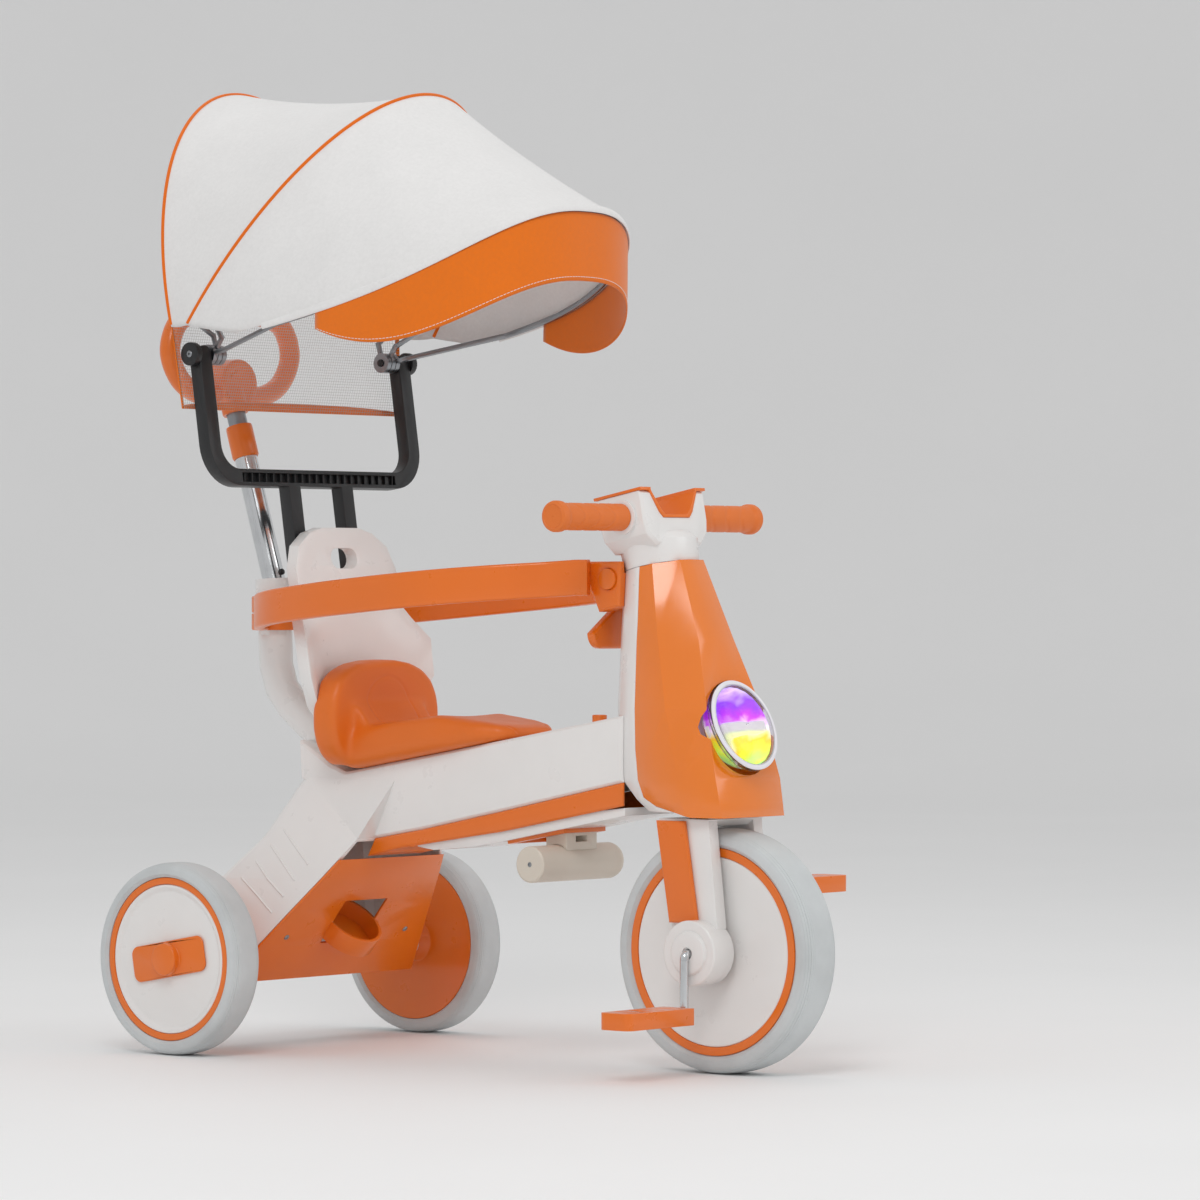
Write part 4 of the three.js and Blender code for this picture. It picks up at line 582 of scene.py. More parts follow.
class Tree:
    """A Geometry Nodes tree with short calls for its inputs and nodes."""

    def __init__(self, name, **inputs):
        self.group = bpy.data.node_groups.new(name, "GeometryNodeTree")
        face = self.group.interface
        face.new_socket("Geometry", in_out="INPUT", socket_type="NodeSocketGeometry")
        self.ids = {}
        for label, value in inputs.items():
            kinds = {float: "NodeSocketFloat", int: "NodeSocketInt"}
            kind = kinds.get(type(value), "NodeSocketMaterial")
            socket = face.new_socket(label.replace("_", " "), in_out="INPUT", socket_type=kind)
            socket.default_value = value
            self.ids[label] = socket.identifier
        face.new_socket("Geometry", in_out="OUTPUT", socket_type="NodeSocketGeometry")
        self.start = self.group.nodes.new("NodeGroupInput")
        self.end = self.group.nodes.new("NodeGroupOutput")

    def given(self, label):
        return self.start.outputs[label.replace("_", " ")]

    def add(self, kind, inputs=(), **settings):
        node = self.group.nodes.new(kind)
        for key, value in settings.items():
            setattr(node, key, value)
        for key, value in dict(inputs).items():
            if isinstance(value, bpy.types.NodeSocket):
                self.group.links.new(value, node.inputs[key])
            else:
                node.inputs[key].default_value = value
        return node

    def close(self, geometry, finish_socket):
        real = self.add("GeometryNodeRealizeInstances", {"Geometry": geometry})
        painted = self.add(
            "GeometryNodeSetMaterial", {"Geometry": real.outputs[0], "Material": finish_socket},
        )
        self.group.links.new(painted.outputs[0], self.end.inputs[0])

    def run(self, obj, **values):
        """Runs the tree on the object and leaves the result as its plain mesh."""
        modifier = obj.modifiers.new(self.group.name, "NODES")
        modifier.node_group = self.group
        for label, value in values.items():
            modifier[self.ids[label]] = value
        baked(obj)
        return obj


def strand_tree():
    """Every edge of the guide mesh becomes a thin three-sided thread."""
    tree = Tree("Threads along guides", Thread_radius=0.00022, Finish=material("net"))
    curve = tree.add("GeometryNodeMeshToCurve", {"Mesh": tree.start.outputs["Geometry"]})
    ring = tree.add(
        "GeometryNodeCurvePrimitiveCircle",
        {"Resolution": 3, "Radius": tree.given("Thread_radius")},
    )
    thread = tree.add(
        "GeometryNodeCurveToMesh", {"Curve": curve.outputs[0], "Profile Curve": ring.outputs[0]},
    )
    tree.close(thread.outputs[0], tree.given("Finish"))
    return tree


def stitch_tree():
    """Short stitches laid end to end along the guide."""
    tree = Tree(
        "Stitches along guides", Spacing=0.004, Length=0.0028, Radius=0.00035,
        Finish=material("cloth"),
    )
    curve = tree.add("GeometryNodeMeshToCurve", {"Mesh": tree.start.outputs["Geometry"]})
    spacing = {"Curve": curve.outputs[0], "Length": tree.given("Spacing")}
    spaced = tree.add("GeometryNodeResampleCurve", spacing, mode="LENGTH")
    tangent = tree.add("GeometryNodeInputTangent")
    turn = tree.add("FunctionNodeAlignRotationToVector", {"Vector": tangent.outputs[0]}, axis="Z")
    stitch = tree.add(
        "GeometryNodeMeshCylinder",
        {"Vertices": 5, "Radius": tree.given("Radius"), "Depth": tree.given("Length")},
    )
    laid = tree.add(
        "GeometryNodeInstanceOnPoints",
        {"Points": spaced.outputs[0], "Instance": stitch.outputs[0], "Rotation": turn.outputs[0]},
    )
    tree.close(laid.outputs[0], tree.given("Finish"))
    return tree


def rib_tree():
    """Upright ribs across a channel, evenly spaced along the guide."""
    tree = Tree(
        "Ribs along a channel", Spacing=0.011, Width=0.0012, Depth=0.004, Height=0.0098,
        Finish=material("black"),
    )
    curve = tree.add("GeometryNodeMeshToCurve", {"Mesh": tree.start.outputs["Geometry"]})
    spacing = {"Curve": curve.outputs[0], "Length": tree.given("Spacing")}
    spaced = tree.add("GeometryNodeResampleCurve", spacing, mode="LENGTH")
    size = tree.add(
        "ShaderNodeCombineXYZ",
        {"X": tree.given("Depth"), "Y": tree.given("Width"), "Z": tree.given("Height")},
    )
    rib = tree.add("GeometryNodeMeshCube", {"Size": size.outputs[0]})
    laid = tree.add(
        "GeometryNodeInstanceOnPoints", {"Points": spaced.outputs[0], "Instance": rib.outputs[0]},
    )
    tree.close(laid.outputs[0], tree.given("Finish"))
    return tree


def guide(name, paths):
    """Polylines for a node tree to follow."""
    points, edges = [], []
    for path in paths:
        base = len(points)
        points += [tuple(p) for p in path]
        edges += [(base + k, base + k + 1) for k in range(len(path) - 1)]
    mesh = bpy.data.meshes.new(name)
    mesh.from_pydata(points, edges, [])
    obj = bpy.data.objects.new(name, mesh)
    bpy.context.scene.collection.objects.link(obj)
    return obj


def from_tree(name, tree, paths, body, finish, **values):
    obj = tree.run(guide(name, paths), **values)
    for polygon in obj.data.polygons:
        polygon.use_smooth = False
    return settle(obj, body, finish)


# ---------------------------------------------------------------- settings


COLOUR = {"size": 4, "min": 0.0, "max": 1.0, "subtype": "COLOR"}
DISTANCE = {"subtype": "DISTANCE", "unit": "LENGTH"}


class TricycleSizes(bpy.types.PropertyGroup):
    """Sizes of the finished pieces that a maker might change."""

    tread_grooves: bpy.props.IntProperty(
        name="Tread grooves", description="Fine grooves on each shoulder of a tyre", default=4,
    )
    groove_depth: bpy.props.FloatProperty(
        name="Groove depth", description="Depth of a tread groove", default=0.0007, **DISTANCE
    )
    edge_round: bpy.props.FloatProperty(
        name="Edge rounding", description="Rounding of moulded edges", default=0.0009, **DISTANCE
    )
    net_pitch: bpy.props.FloatProperty(
        name="Net pitch", description="Distance between the curtain's threads", default=0.003, **DISTANCE
    )
    cloth_thickness: bpy.props.FloatProperty(
        name="Cloth thickness", description="Thickness of the canopy cloth", default=0.0012, **DISTANCE
    )
    piping_radius: bpy.props.FloatProperty(
        name="Piping radius", description="Radius of the sewn orange piping", default=0.0022, **DISTANCE
    )
    stitch_spacing: bpy.props.FloatProperty(
        name="Stitch spacing", description="Distance from one stitch to the next", default=0.004, **DISTANCE
    )
    key_light: bpy.props.FloatProperty(
        name="Key light", description="Power of the large soft light", default=34.0,
        subtype="POWER",
    )


class TricycleColours(bpy.types.PropertyGroup):
    """Colours of the finishes."""

    white_plastic: bpy.props.FloatVectorProperty(
        name="White plastic",
        description="Shells, fork, discs and seat back",
        default=linear("eeecea"),
        **COLOUR,
    )
    orange_plastic: bpy.props.FloatVectorProperty(
        name="Orange plastic",
        description="Rims, rails, trim, pedals and handle",
        default=linear("ee7414"),
        **COLOUR,
    )
    shield_orange: bpy.props.FloatVectorProperty(
        name="Shield orange", description="Glossy front shield", default=linear("f57f0c"), **COLOUR
    )
    grip_orange: bpy.props.FloatVectorProperty(
        name="Grip orange", description="Soft finger grips", default=linear("e8772a"), **COLOUR
    )
    cream_plastic: bpy.props.FloatVectorProperty(
        name="Cream plastic", description="Footrest and its stem", default=linear("dcd2c4"), **COLOUR
    )
    black_nylon: bpy.props.FloatVectorProperty(
        name="Black nylon", description="Bracket, knobs and bushes", default=linear("1c1d1f"), **COLOUR
    )
    tyre_grey: bpy.props.FloatVectorProperty(
        name="Tyre grey", description="Foam tyres", default=linear("cdd1d2"), **COLOUR
    )
    chrome: bpy.props.FloatVectorProperty(
        name="Chrome", description="Crank and push tube", default=linear("dcdee0"), **COLOUR
    )
    steel: bpy.props.FloatVectorProperty(
        name="Steel", description="Bows, stem and axle", default=linear("9fa2a6"), **COLOUR
    )
    canopy_white: bpy.props.FloatVectorProperty(
        name="Canopy white", description="Woven canopy cloth", default=linear("ecebea"), **COLOUR
    )
    band_orange: bpy.props.FloatVectorProperty(
        name="Band orange", description="Valance, hems and bindings", default=linear("ee7819"), **COLOUR
    )
    piping_orange: bpy.props.FloatVectorProperty(
        name="Piping orange", description="Sewn piping", default=linear("ea7012"), **COLOUR
    )
    net_white: bpy.props.FloatVectorProperty(
        name="Net white", description="Threads of the rear curtain", default=linear("f2f1ef"), **COLOUR
    )
    seat_orange: bpy.props.FloatVectorProperty(
        name="Seat orange", description="Seat pad", default=linear("e8721a"), **COLOUR
    )
    lamp_clear: bpy.props.FloatVectorProperty(
        name="Lamp clear", description="Clear lamp cup, rim and dome", default=linear("f6f4fa"), **COLOUR
    )
    floor_white: bpy.props.FloatVectorProperty(
        name="Floor white", description="Studio floor", default=linear("f7f7f7"), **COLOUR
    )


def sizes():
    return bpy.context.scene.tricycle_sizes


def colours():
    return bpy.context.scene.tricycle_colours


# ---------------------------------------------------------------- wheels

WHEELS = {
    "front": {"radius": 125.0, "width": 53.0, "seat": 106.3, "nodes": ("front_tyre",)},
    "rear": {"radius": 102.0, "width": 41.0, "seat": 86.8, "nodes": ("rear_tyre_left", "rear_tyre_right")},
}


def tyre_section(radius, width, seat):
    """A rounded tread with fine grooves round both shoulders."""
    half = width / 2
    grooves = sizes().tread_grooves
    depth = sizes().groove_depth / MM
    section = []
    count = 120
    for k in range(count + 1):
        angle = -math.pi / 2 + math.pi * k / count
        a = half * math.copysign(abs(math.sin(angle)) ** 0.62, angle)
        r = seat + (radius - seat) * math.cos(angle) ** 0.42
        share = (abs(a) / half - 0.52) / 0.4
        if 0.0 < share < 1.0:
            ripple = max(0.0, math.cos(2 * math.pi * grooves * share)) ** 6
            r -= depth * ripple
        section.append((r, a))
    section[0] = (seat, -0.86 * half)
    section[-1] = (seat, 0.86 * half)
    return section


class TRICYCLE_OT_tyres(bpy.types.Operator):
    """Foam tyres with grooved shoulders"""

    bl_idname = "tricycle.tyres"
    bl_label = "Tyres"

    def execute(self, context):
        for size in WHEELS.values():
            for node in size["nodes"]:
                section = tyre_section(size["radius"], size["width"], size["seat"])
                tyre = turned(node + "_grooved", section, middle(node), (0, 1, 0), "tyre", 144)
                settle(tyre, BODY_OF[node], "tyre", node)
        return {"FINISHED"}


def rounded(profile, radius, steps=4):
    """A closed profile with its corners rounded over."""
    out = []
    count = len(profile)
    for i in range(count):
        b = Vector(profile[i]).to_2d() if len(profile[i]) > 2 else Vector(profile[i])
        a, c = Vector(profile[i - 1]), Vector(profile[(i + 1) % count])
        into, away = a - b, c - b
        cut = min(radius, into.length * 0.45, away.length * 0.45)
        if into.angle(away, math.pi) > math.radians(165):
            out.append(tuple(b))
            continue
        start, end = b + into.normalized() * cut, b + away.normalized() * cut
        for k in range(steps + 1):
            t = k / steps
            out.append(tuple(start * (1 - t) ** 2 + b * 2 * t * (1 - t) + end * t * t))
    return out


class TRICYCLE_OT_wheel_centres(bpy.types.Operator):
    """Orange rims, white wheel discs and the rear wheels' caps"""

    bl_idname = "tricycle.wheel_centres"
    bl_label = "Rims and discs"

    def execute(self, context):
        half = 26.5
        face = half - 3
        rim = [
            (4.8, -face), (16, -face), (16, -4), (96, -4), (97.3, -face - 1), (106, -face - 1),
            (106, face + 1), (97.3, face + 1), (96, 4), (16, 4), (16, face), (4.8, face),
        ]
        centre = middle("front_tyre")
        piece = turned("front_rim_ring", rounded(rim, 1.2), centre, (0, 1, 0), "orange", 128)
        settle(piece, "front_wheel", "orange", "front_rim")
        for side, sign in SIDES:
            disc = [
                (16.3, face - 7), (85, face - 4), (97, face - 3), (97, face), (94, face + 0.1),
                (83, face - 1), (30, face - 3.4), (16.3, face - 4),
            ]
            piece = turned(
                "front_disc_" + side + "_dished", rounded(disc, 1.5), centre, (0, sign, 0), "white",
                128,
            )
            settle(piece, "front_wheel", "white", "front_disc_" + side)
            self.rear(side, sign)
        return {"FINISHED"}

    def rear(self, side, sign):
        centre = middle("rear_tyre_" + side)
        outward = (0, sign, 0)
        half = 20.5
        face = half - 4
        rim = [
            (5.5, -half - 4), (14, -half - 4), (22, -half + 9), (72.5, -half + 4), (86.5, -half + 2),
            (86.5, face + 1), (79.3, face + 1), (78, -half + 10), (22, -half + 13), (14, 4), (5.5, 4),
        ]
        piece = turned("rear_rim_" + side + "_ring", rounded(rim, 1.4), centre, outward, "orange", 128)
        settle(piece, BODY_OF["rear_rim_" + side], "orange", "rear_rim_" + side)
        disc = [
            (11, face - 7), (71, face - 7), (79, face - 3), (79, face), (76, face),
            (71.5, face - 3), (11, face - 3),
        ]
        piece = turned("rear_disc_" + side + "_dished", rounded(disc, 1.5), centre, outward, "white", 128)
        settle(piece, BODY_OF["rear_disc_" + side], "white", "rear_disc_" + side)
        refined("rear_cap_" + side, 1.2)


class TRICYCLE_OT_pedals(bpy.types.Operator):
    """Chromed crank rod and the two pedals"""

    bl_idname = "tricycle.pedals"
    bl_label = "Cranks and pedals"

    def execute(self, context):
        low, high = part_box("pedal_crank")
        hub = middle("front_tyre")
        down, up = low.z + 0.0045, high.z - 0.0045
        arm = 0.069
        corners = [
            (hub.x, low.y, down), (hub.x, -arm, down), (hub.x, -arm, hub.z),
            (hub.x, arm, hub.z), (hub.x, arm, up), (hub.x, high.y, up),
        ]
        rod = bent_rod("crank_rod", corners, 0.0045, 0.0075, "chrome", 24)
        settle(rod, "front_wheel", "chrome", "pedal_crank")
        for side in ("left", "right"):
            refined("pedal_" + side, 1.4)
        return {"FINISHED"}


# ---------------------------------------------------------------- shells and steering


class TRICYCLE_OT_shells(bpy.types.Operator):
    """Moulded shells of the beam, the rear legs, the column and the trim"""

    bl_idname = "tricycle.shells"
    bl_label = "Moulded shells"

    def execute(self, context):
        edge = sizes().edge_round / MM
        for node in ("beam_shell", "beam_trim", "belly", "rear_panel", "column_shell", "front_shield"):
            refined(node, edge, joined=node not in ("beam_shell", "rear_panel"))
        refined("beam_button", 1.0)
        refined("rear_axle", 0.6)
        return {"FINISHED"}


def on_skin(node, start, direction):
    """Where a ray first meets a CAD node's surface, and the surface's normal there."""
    mesh = frame["nodes"][node].data
    corners = [v.co.copy() for v in mesh.vertices]
    tree = BVHTree.FromPolygons(corners, [tuple(polygon.vertices) for polygon in mesh.polygons])
    hit, normal, _, _ = tree.ray_cast(start, Vector(direction))
    if hit is None:
        raise RuntimeError("no surface of " + node + " on the ray")
    return hit, normal


RIB_COUNT, RIB_RADIUS, RIB_STEPS = 4, 0.0011, 8


class TRICYCLE_OT_leg_ribs(bpy.types.Operator):
    """Four slanted ribs moulded on each rear leg and the screws beside them"""

    bl_idname = "tricycle.leg_ribs"
    bl_label = "Leg ribs and screws"

    def execute(self, context):
        for side, sign in reversed(SIDES):
            for k in range(RIB_COUNT):
                path = []
                for j in range(RIB_STEPS + 1):
                    t = j / RIB_STEPS
                    x = -252 - 9 * k + 48 * t
                    z = 236 - 17 * k - 36 * t
                    hit, normal = on_skin("beam_shell", place(x, sign * 300, z), (0, -sign, 0))
                    path.append(hit + normal * 0.0001)
                name = "leg_rib_" + side + "_" + str(k + 1)
                rib = swept(name, path, lambda i: circle(RIB_RADIUS, 10), "white")
                settle(rib, "frame", "white")
            hit, normal = on_skin("rear_panel", place(-150, sign * 95, 122), (-1, 0, 0))
            head = [(0.1, -0.4), (3.1, -0.4), (3.3, 0.4), (2.7, 1.1), (1.4, 1.3), (1.2, 0.5), (0.1, 0.5)]
            screw = turned("panel_screw_" + side, rounded(head, 0.25), hit, normal, "steel", 48)
            settle(screw, "frame", "steel")
        return {"FINISHED"}


class TRICYCLE_OT_fork(bpy.types.Operator):
    """Fork, its orange covers and the stepped ends"""

    bl_idname = "tricycle.fork"
    bl_label = "Fork"

    def execute(self, context):
        refined("fork", 1.2)
        refined("fork_cover_left", 1.4)
        refined("fork_cover_right", 1.4)
        hub = middle("front_tyre")
        for side, sign in SIDES:
            ring = [
                (6, 59.4), (21, 59.4), (21, 60.4), (24, 60.6), (33.1, 60.4), (33.1, 40), (33.3, 40),
                (33.4, 61), (32, 62), (24.5, 62), (22.5, 61.2), (21, 64.2), (17, 65), (6, 65),
            ]
            piece = turned("fork_end_" + side, rounded(ring, 0.8), hub, (0, sign, 0), "white", 96)
            settle(piece, "steering", "white")
        return {"FINISHED"}


class TRICYCLE_OT_handlebar(bpy.types.Operator):
    """Handlebar housing, tray liner, tube and finger grips"""

    bl_idname = "tricycle.handlebar"
    bl_label = "Handlebar"

    def execute(self, context):
        refined("handlebar_housing", 1.6)
        refined("tray_liner", 0.8)
        for node in ("steering_stem", "handlebar_tube", "stem_bush_lower", "stem_bush_upper"):
            refined(node, 0.0)
        for side, sign in SIDES:
            low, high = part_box("grip_" + side)
            centre = middle("grip_" + side)
            inner = min(abs(low.y), abs(high.y)) / MM
            outer = max(abs(low.y), abs(high.y)) / MM
            profile = [(8.3, inner), (13.2, inner), (14, inner + 1)]
            count = 90
            for k in range(count + 1):
                profile.append((14, inner + 2 + (outer - 15 - inner - 2) * k / count))
            profile += [
                (14.4, outer - 12.5), (15.8, outer - 10.5), (16, outer - 9), (16, outer - 4),
                (15.2, outer - 1.6), (12.5, outer - 0.2), (11.5, outer - 0.9), (9, outer - 0.9),
                (0.4, outer - 0.9), (0.4, outer - 7.5), (8.3, outer - 7.5),
            ]

            def ridges(angle, h, inner=inner, outer=outer):
                along = (h - inner) / (outer - inner)
                if not 0.08 < along < 0.82:
                    return 0.0
                wave = math.sin(along * math.pi * 9.0 + 1.8 * math.cos(angle * 2))
                fade = min(1.0, (along - 0.08) / 0.08, (0.82 - along) / 0.08)
                return 0.0 if wave < 0.55 else -0.7 * fade * (wave - 0.55) / 0.45

            grip = turned(
                "grip_" + side + "_ridged", profile, (centre.x, 0, centre.z), (0, sign, 0), "grip",
                96, ridges,
            )
            settle(grip, "steering", "grip", "grip_" + side)
        return {"FINISHED"}


class TRICYCLE_OT_lamp(bpy.types.Operator):
    """Round lamp: reflector, cross bar and rim given a painted glow, and the clear dome"""

    bl_idname = "tricycle.lamp"
    bl_label = "Lamp"

    def execute(self, context):
        lean = math.radians(22)
        axis = Vector((math.cos(lean), 0, math.sin(lean)))
        centre = LAMP_CENTRE
        cup = [
            (0.4, -15.6), (37, -15.6), (45.6, -2), (48.6, 3.6), (48.6, 7.6), (43, 7.8), (41.6, 5),
            (34, -13), (0.4, -13),
        ]
        piece = turned("lamp_cup", rounded(cup, 1.0), centre, axis, "clear", 96)
        settle(piece, "frame", "clear", "lamp_housing")
        facets = [(33.2 - 3.2 * k, -11.8 + (0.9 if k % 2 else 0.0)) for k in range(9)]
        bowl = [(40.6, 4.6), (41.2, 4.4), (33.8, -12.6), (0.4, -12.7)] + list(reversed(facets))
        # The reflector shines with a painted glow in place of the light the clear cup keeps from it
        piece = turned("lamp_reflector", bowl, centre, axis, "painted_glow", 24)
        settle(piece, "frame", "clear")
        dome = [(0.3, 8.4), (47.6, 8.4), (47.6, 9.2), (44, 10.4), (30, 12.4), (16, 13.6), (0.3, 14)]
        piece = turned("lamp_dome", rounded(dome, 0.6), centre, axis, "clear", 96)
        settle(piece, "frame", "clear", "lamp_lens")
        rim = [(42.6, 7.9), (48.4, 7.9), (48.8, 9.4), (47.0, 10.6), (44.4, 10.6), (42.8, 9.4)]
        # The rim's painted glow stands in for the light and highlights that the clear cup and dome keep
        # from it
        piece = turned("lamp_rim", rounded(rim, 0.7), centre, axis, "painted_glow_rim", 96)
        settle(piece, "frame", "clear")
        along, side, up = basis(axis)
        bar = [(-38, -5.5), (38, -5.5), (38, 5.5), (-38, 5.5)]
        points = [centre + side * a * MM + up * b * MM + along * h * MM for h in (-9, 4) for a, b in bar]
        faces = [(0, 1, 2, 3), (7, 6, 5, 4), (0, 4, 5, 1), (1, 5, 6, 2), (2, 6, 7, 3), (3, 7, 4, 0)]
        # The bar's painted glow stands in for the light that the clear dome keeps from it
        piece = mesh_object("lamp_cross_bar", points, faces, "painted_glow_bar")
        edge = piece.modifiers.new("Round over", "BEVEL")
        edge.width = 0.002
        edge.segments = 3
        baked(piece)
        settle(piece, "frame", "white")
        return {"FINISHED"}


# ---------------------------------------------------------------- seat, guard rails, footrest


class TRICYCLE_OT_seat(bpy.types.Operator):
    """Soft seat skin over foam, and the moulded seat back"""

    bl_idname = "tricycle.seat"
    bl_label = "Seat"

    def execute(self, context):
        refined("seat_back", 2.2)
        pad = refined("seat_pad", 0.0)
        body = pad.modifiers.new("Even skin", "REMESH")
        body.mode = "VOXEL"
        body.voxel_size = 0.003
        ease = pad.modifiers.new("Soft corners", "SMOOTH")
        ease.factor = 0.6
        ease.iterations = 10
        baked(pad)
        self.crown(pad)
        finer = pad.modifiers.new("Fine skin", "SUBSURF")
        finer.levels = 1
        finer.render_levels = 1
        baked(pad)
        self.mark(pad)
        pad.data.materials.clear()
        pad.data.materials.append(material("pad"))
        for polygon in pad.data.polygons:
            polygon.use_smooth = True
        return {"FINISHED"}

    def crown(self, pad):
        """The foam dips where the child sits and swells a little round it."""
        low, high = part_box("seat_pad")
        for vertex in pad.data.vertices:
            p = vertex.co
            along = (p.x - low.x) / (high.x - low.x)
            across = abs(p.y) / high.y
            if vertex.normal.z > 0.6 and 0.25 < along < 0.95:
                fade = math.sin(math.pi * (along - 0.25) / 0.7)
                p.z += 0.0022 * fade * math.cos(math.pi * min(1.0, across * 1.1)) * -0.6

    def mark(self, pad):
        """A pressed ring on the back rest."""
        low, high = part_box("seat_pad")
        ring_centre = Vector((0, 0, high.z - 0.052))
        for vertex in pad.data.vertices:
            p, n = vertex.co, vertex.normal
            if n.x > 0.35 and p.z > low.z + 0.04:
                away = math.hypot(p.y, p.z - ring_centre.z)
                dent = math.exp(-(((away - 0.034) / 0.0011) ** 2))
                vertex.co = p - n * 0.0009 * dent


RAIL_FOOT, RAIL_RISE = 0.449, 0.038
RAIL_HALF_THICKNESS, RAIL_HEIGHT, RAIL_SOFT = 0.006, 0.037, 0.0028
KNUCKLE_CLEAR = 0.0262
SWING_PIVOT = place(-335, 0, 468)


class TRICYCLE_OT_guard(bpy.types.Operator):
    """Guard rails, the block behind the column and its buttons"""

    bl_idname = "tricycle.guard"
    bl_label = "Guard rails"

    PLAN = [
        (-336, 15), (-306, 56), (-276, 86), (-240, 107), (-190, 121), (-130, 130), (-30, 133),
        (30, 121), (75, 98), (112, 68), (152, 50.5),
    ]

    def execute(self, context):
        for side, sign in SIDES:
            self.band(side, sign)
            refined("guard_button_" + side, 1.0)
        refined("guard_block", 1.2)
        return {"FINISHED"}

    def band(self, side, sign):
        path = spline([place(x, sign * y, 0) for x, y in self.PLAN], 120)
        path = [p for p in path if (p - Vector((SWING_PIVOT.x, SWING_PIVOT.y, 0))).length > KNUCKLE_CLEAR]
        along = tangents(path)
        half, tall, soft = RAIL_HALF_THICKNESS, RAIL_HEIGHT, RAIL_SOFT
        section = []
        for cx, cz, start in (
            (-half + soft, soft, 180), (half - soft, soft, 270), (half - soft, tall - soft, 0),
            (-half + soft, tall - soft, 90),
        ):
            for k in range(5):
                angle = math.radians(start + 22.5 * k)
                section.append((cx + soft * math.cos(angle), cz + soft * math.sin(angle)))
        points, faces = [], []
        count = len(section)
        for p, t in zip(path, along):
            out = Vector((-t.y, t.x, 0)).normalized()
            x = (p.x - SHIFT) / MM
            base = RAIL_FOOT + RAIL_RISE * min(1.0, max(0.0, (x + 300) / 440)) ** 0.85
            points += [Vector((p.x, p.y, base + b)) + out * a for a, b in section]
        for i in range(len(path) - 1):
            for k in range(count):
                m = (k + 1) % count
                faces.append((i * count + k, i * count + m, (i + 1) * count + m, (i + 1) * count + k))
        faces.append(tuple(range(count)))
        faces.append(tuple((len(path) - 1) * count + k for k in reversed(range(count))))
        rail = mesh_object("guard_band_" + side, points, faces, "orange")
        body = BODY_OF["guard_rail_" + side]
        settle(rail, body, "orange", "guard_rail_" + side)
        low, high = (449.0, 467.2) if side == "left" else (467.8, 486.0)
        knuckle = [(19.9, low), (25.0, low), (26, low + 1), (26, high - 1), (25.0, high), (19.9, high)]
        piece = turned("guard_knuckle_" + side, knuckle, place(-335, 0, 0), (0, 0, 1), "orange", 64)
        settle(piece, body, "orange")


class TRICYCLE_OT_footrest(bpy.types.Operator):
    """Sliding footrest: the stem and its round bar"""

    bl_idname = "tricycle.footrest"
    bl_label = "Footrest"

    def execute(self, context):
        refined("footrest_stem", 1.2)
        centre = middle("footrest_bar")
        half = 68.0
        bar = [
            (0.4, -half + 1), (2.6, -half + 1), (2.6, -half), (17.2, -half), (19, -half + 1.6),
            (19, half - 8), (17.5, half - 3.4), (14.5, half - 0.8), (11, half), (2.6, half),
            (2.6, half - 1), (0.4, half - 1),
        ]
        piece = turned("footrest_roller", rounded(bar, 0.6), centre, (0, 1, 0), "cream", 96)
        settle(piece, "footrest", "cream", "footrest_bar")
        for side, sign in reversed(SIDES):
            screw = [
                (0.2, half - 1.2), (2.5, half - 1.2), (2.5, half - 0.2), (1.6, half),
                (1.4, half - 0.6), (0.2, half - 0.6),
            ]
            piece = turned("footrest_screw_" + side, screw, centre, (0, sign, 0), "steel", 24)
            settle(piece, "footrest", "steel")
        return {"FINISHED"}


# ---------------------------------------------------------------- push handle and canopy bracket

POLE_LEAN = math.radians(17.4)
POLE_UP = Vector((-math.sin(POLE_LEAN), 0, math.cos(POLE_LEAN)))
POLE_FOOT = place(-336, 0, 500)


class TRICYCLE_OT_push_pole(bpy.types.Operator):
    """Rear post, chrome pole, sleeve and the looped push handle"""

    bl_idname = "tricycle.push_pole"
    bl_label = "Push pole"

    def execute(self, context):
        refined("rear_post", 0.9)
        tube = [(11.2, -19.8), (12.5, -19.8), (12.5, 160), (11.2, 160)]
        piece = turned("push_pole_tube", tube, POLE_FOOT, POLE_UP, "chrome", 64)
        settle(piece, "frame", "chrome", "push_tube")
        sleeve = [
            (11.2, 160.4), (12.8, 160.2), (12.8, 144.2), (13.4, 144), (14.7, 146), (14.7, 178),
            (14.2, 180.6), (11.2, 180.9),
        ]
        piece = turned("pole_sleeve_collar", sleeve, POLE_FOOT, POLE_UP, "orange", 64)
        settle(piece, "frame", "orange", "pole_sleeve")
        refined("pole_inner", 0.0)
        refined("pole_button", 0.6)
        self.handle()
        return {"FINISHED"}

    def handle(self):
        hub = POLE_FOOT + POLE_UP * 0.229
        half = 0.107 - 0.0115
        shape = [
            (0, -4), (0.45, -12), (0.82, 2), (1, 34), (0.86, 66), (0.45, 78), (0, 80), (-0.45, 78),
            (-0.86, 66), (-1, 34), (-0.82, 2), (-0.45, -12),
        ]
        loop = [Vector((hub.x + 0.002, s * half, hub.z + dz * MM)) for s, dz in shape]
        path = spline(loop, 160, True)
        ring = swept("handle_loop", path, lambda i: circle(0.0113, 28), "orange", True)
        settle(ring, "push_grip", "orange", "push_handle")
        face = [
            (0.4, -17), (25, -17), (27.2, -16.2), (28, -14.4), (28, 14.4), (27.2, 16.2), (25, 17),
            (20, 17), (18.6, 15.6), (0.4, 15.6),
        ]
        piece = turned("handle_hub", rounded(face, 0.8), hub, (1, 0, 0), "orange", 96)
        settle(piece, "push_grip", "orange")
        neck = [(10.9, 195.2), (13.8, 195.2), (14.5, 196.4), (14.5, 222), (10.9, 222)]
        piece = turned("handle_neck", neck, POLE_FOOT, POLE_UP, "orange", 64)
        settle(piece, "push_grip", "orange")


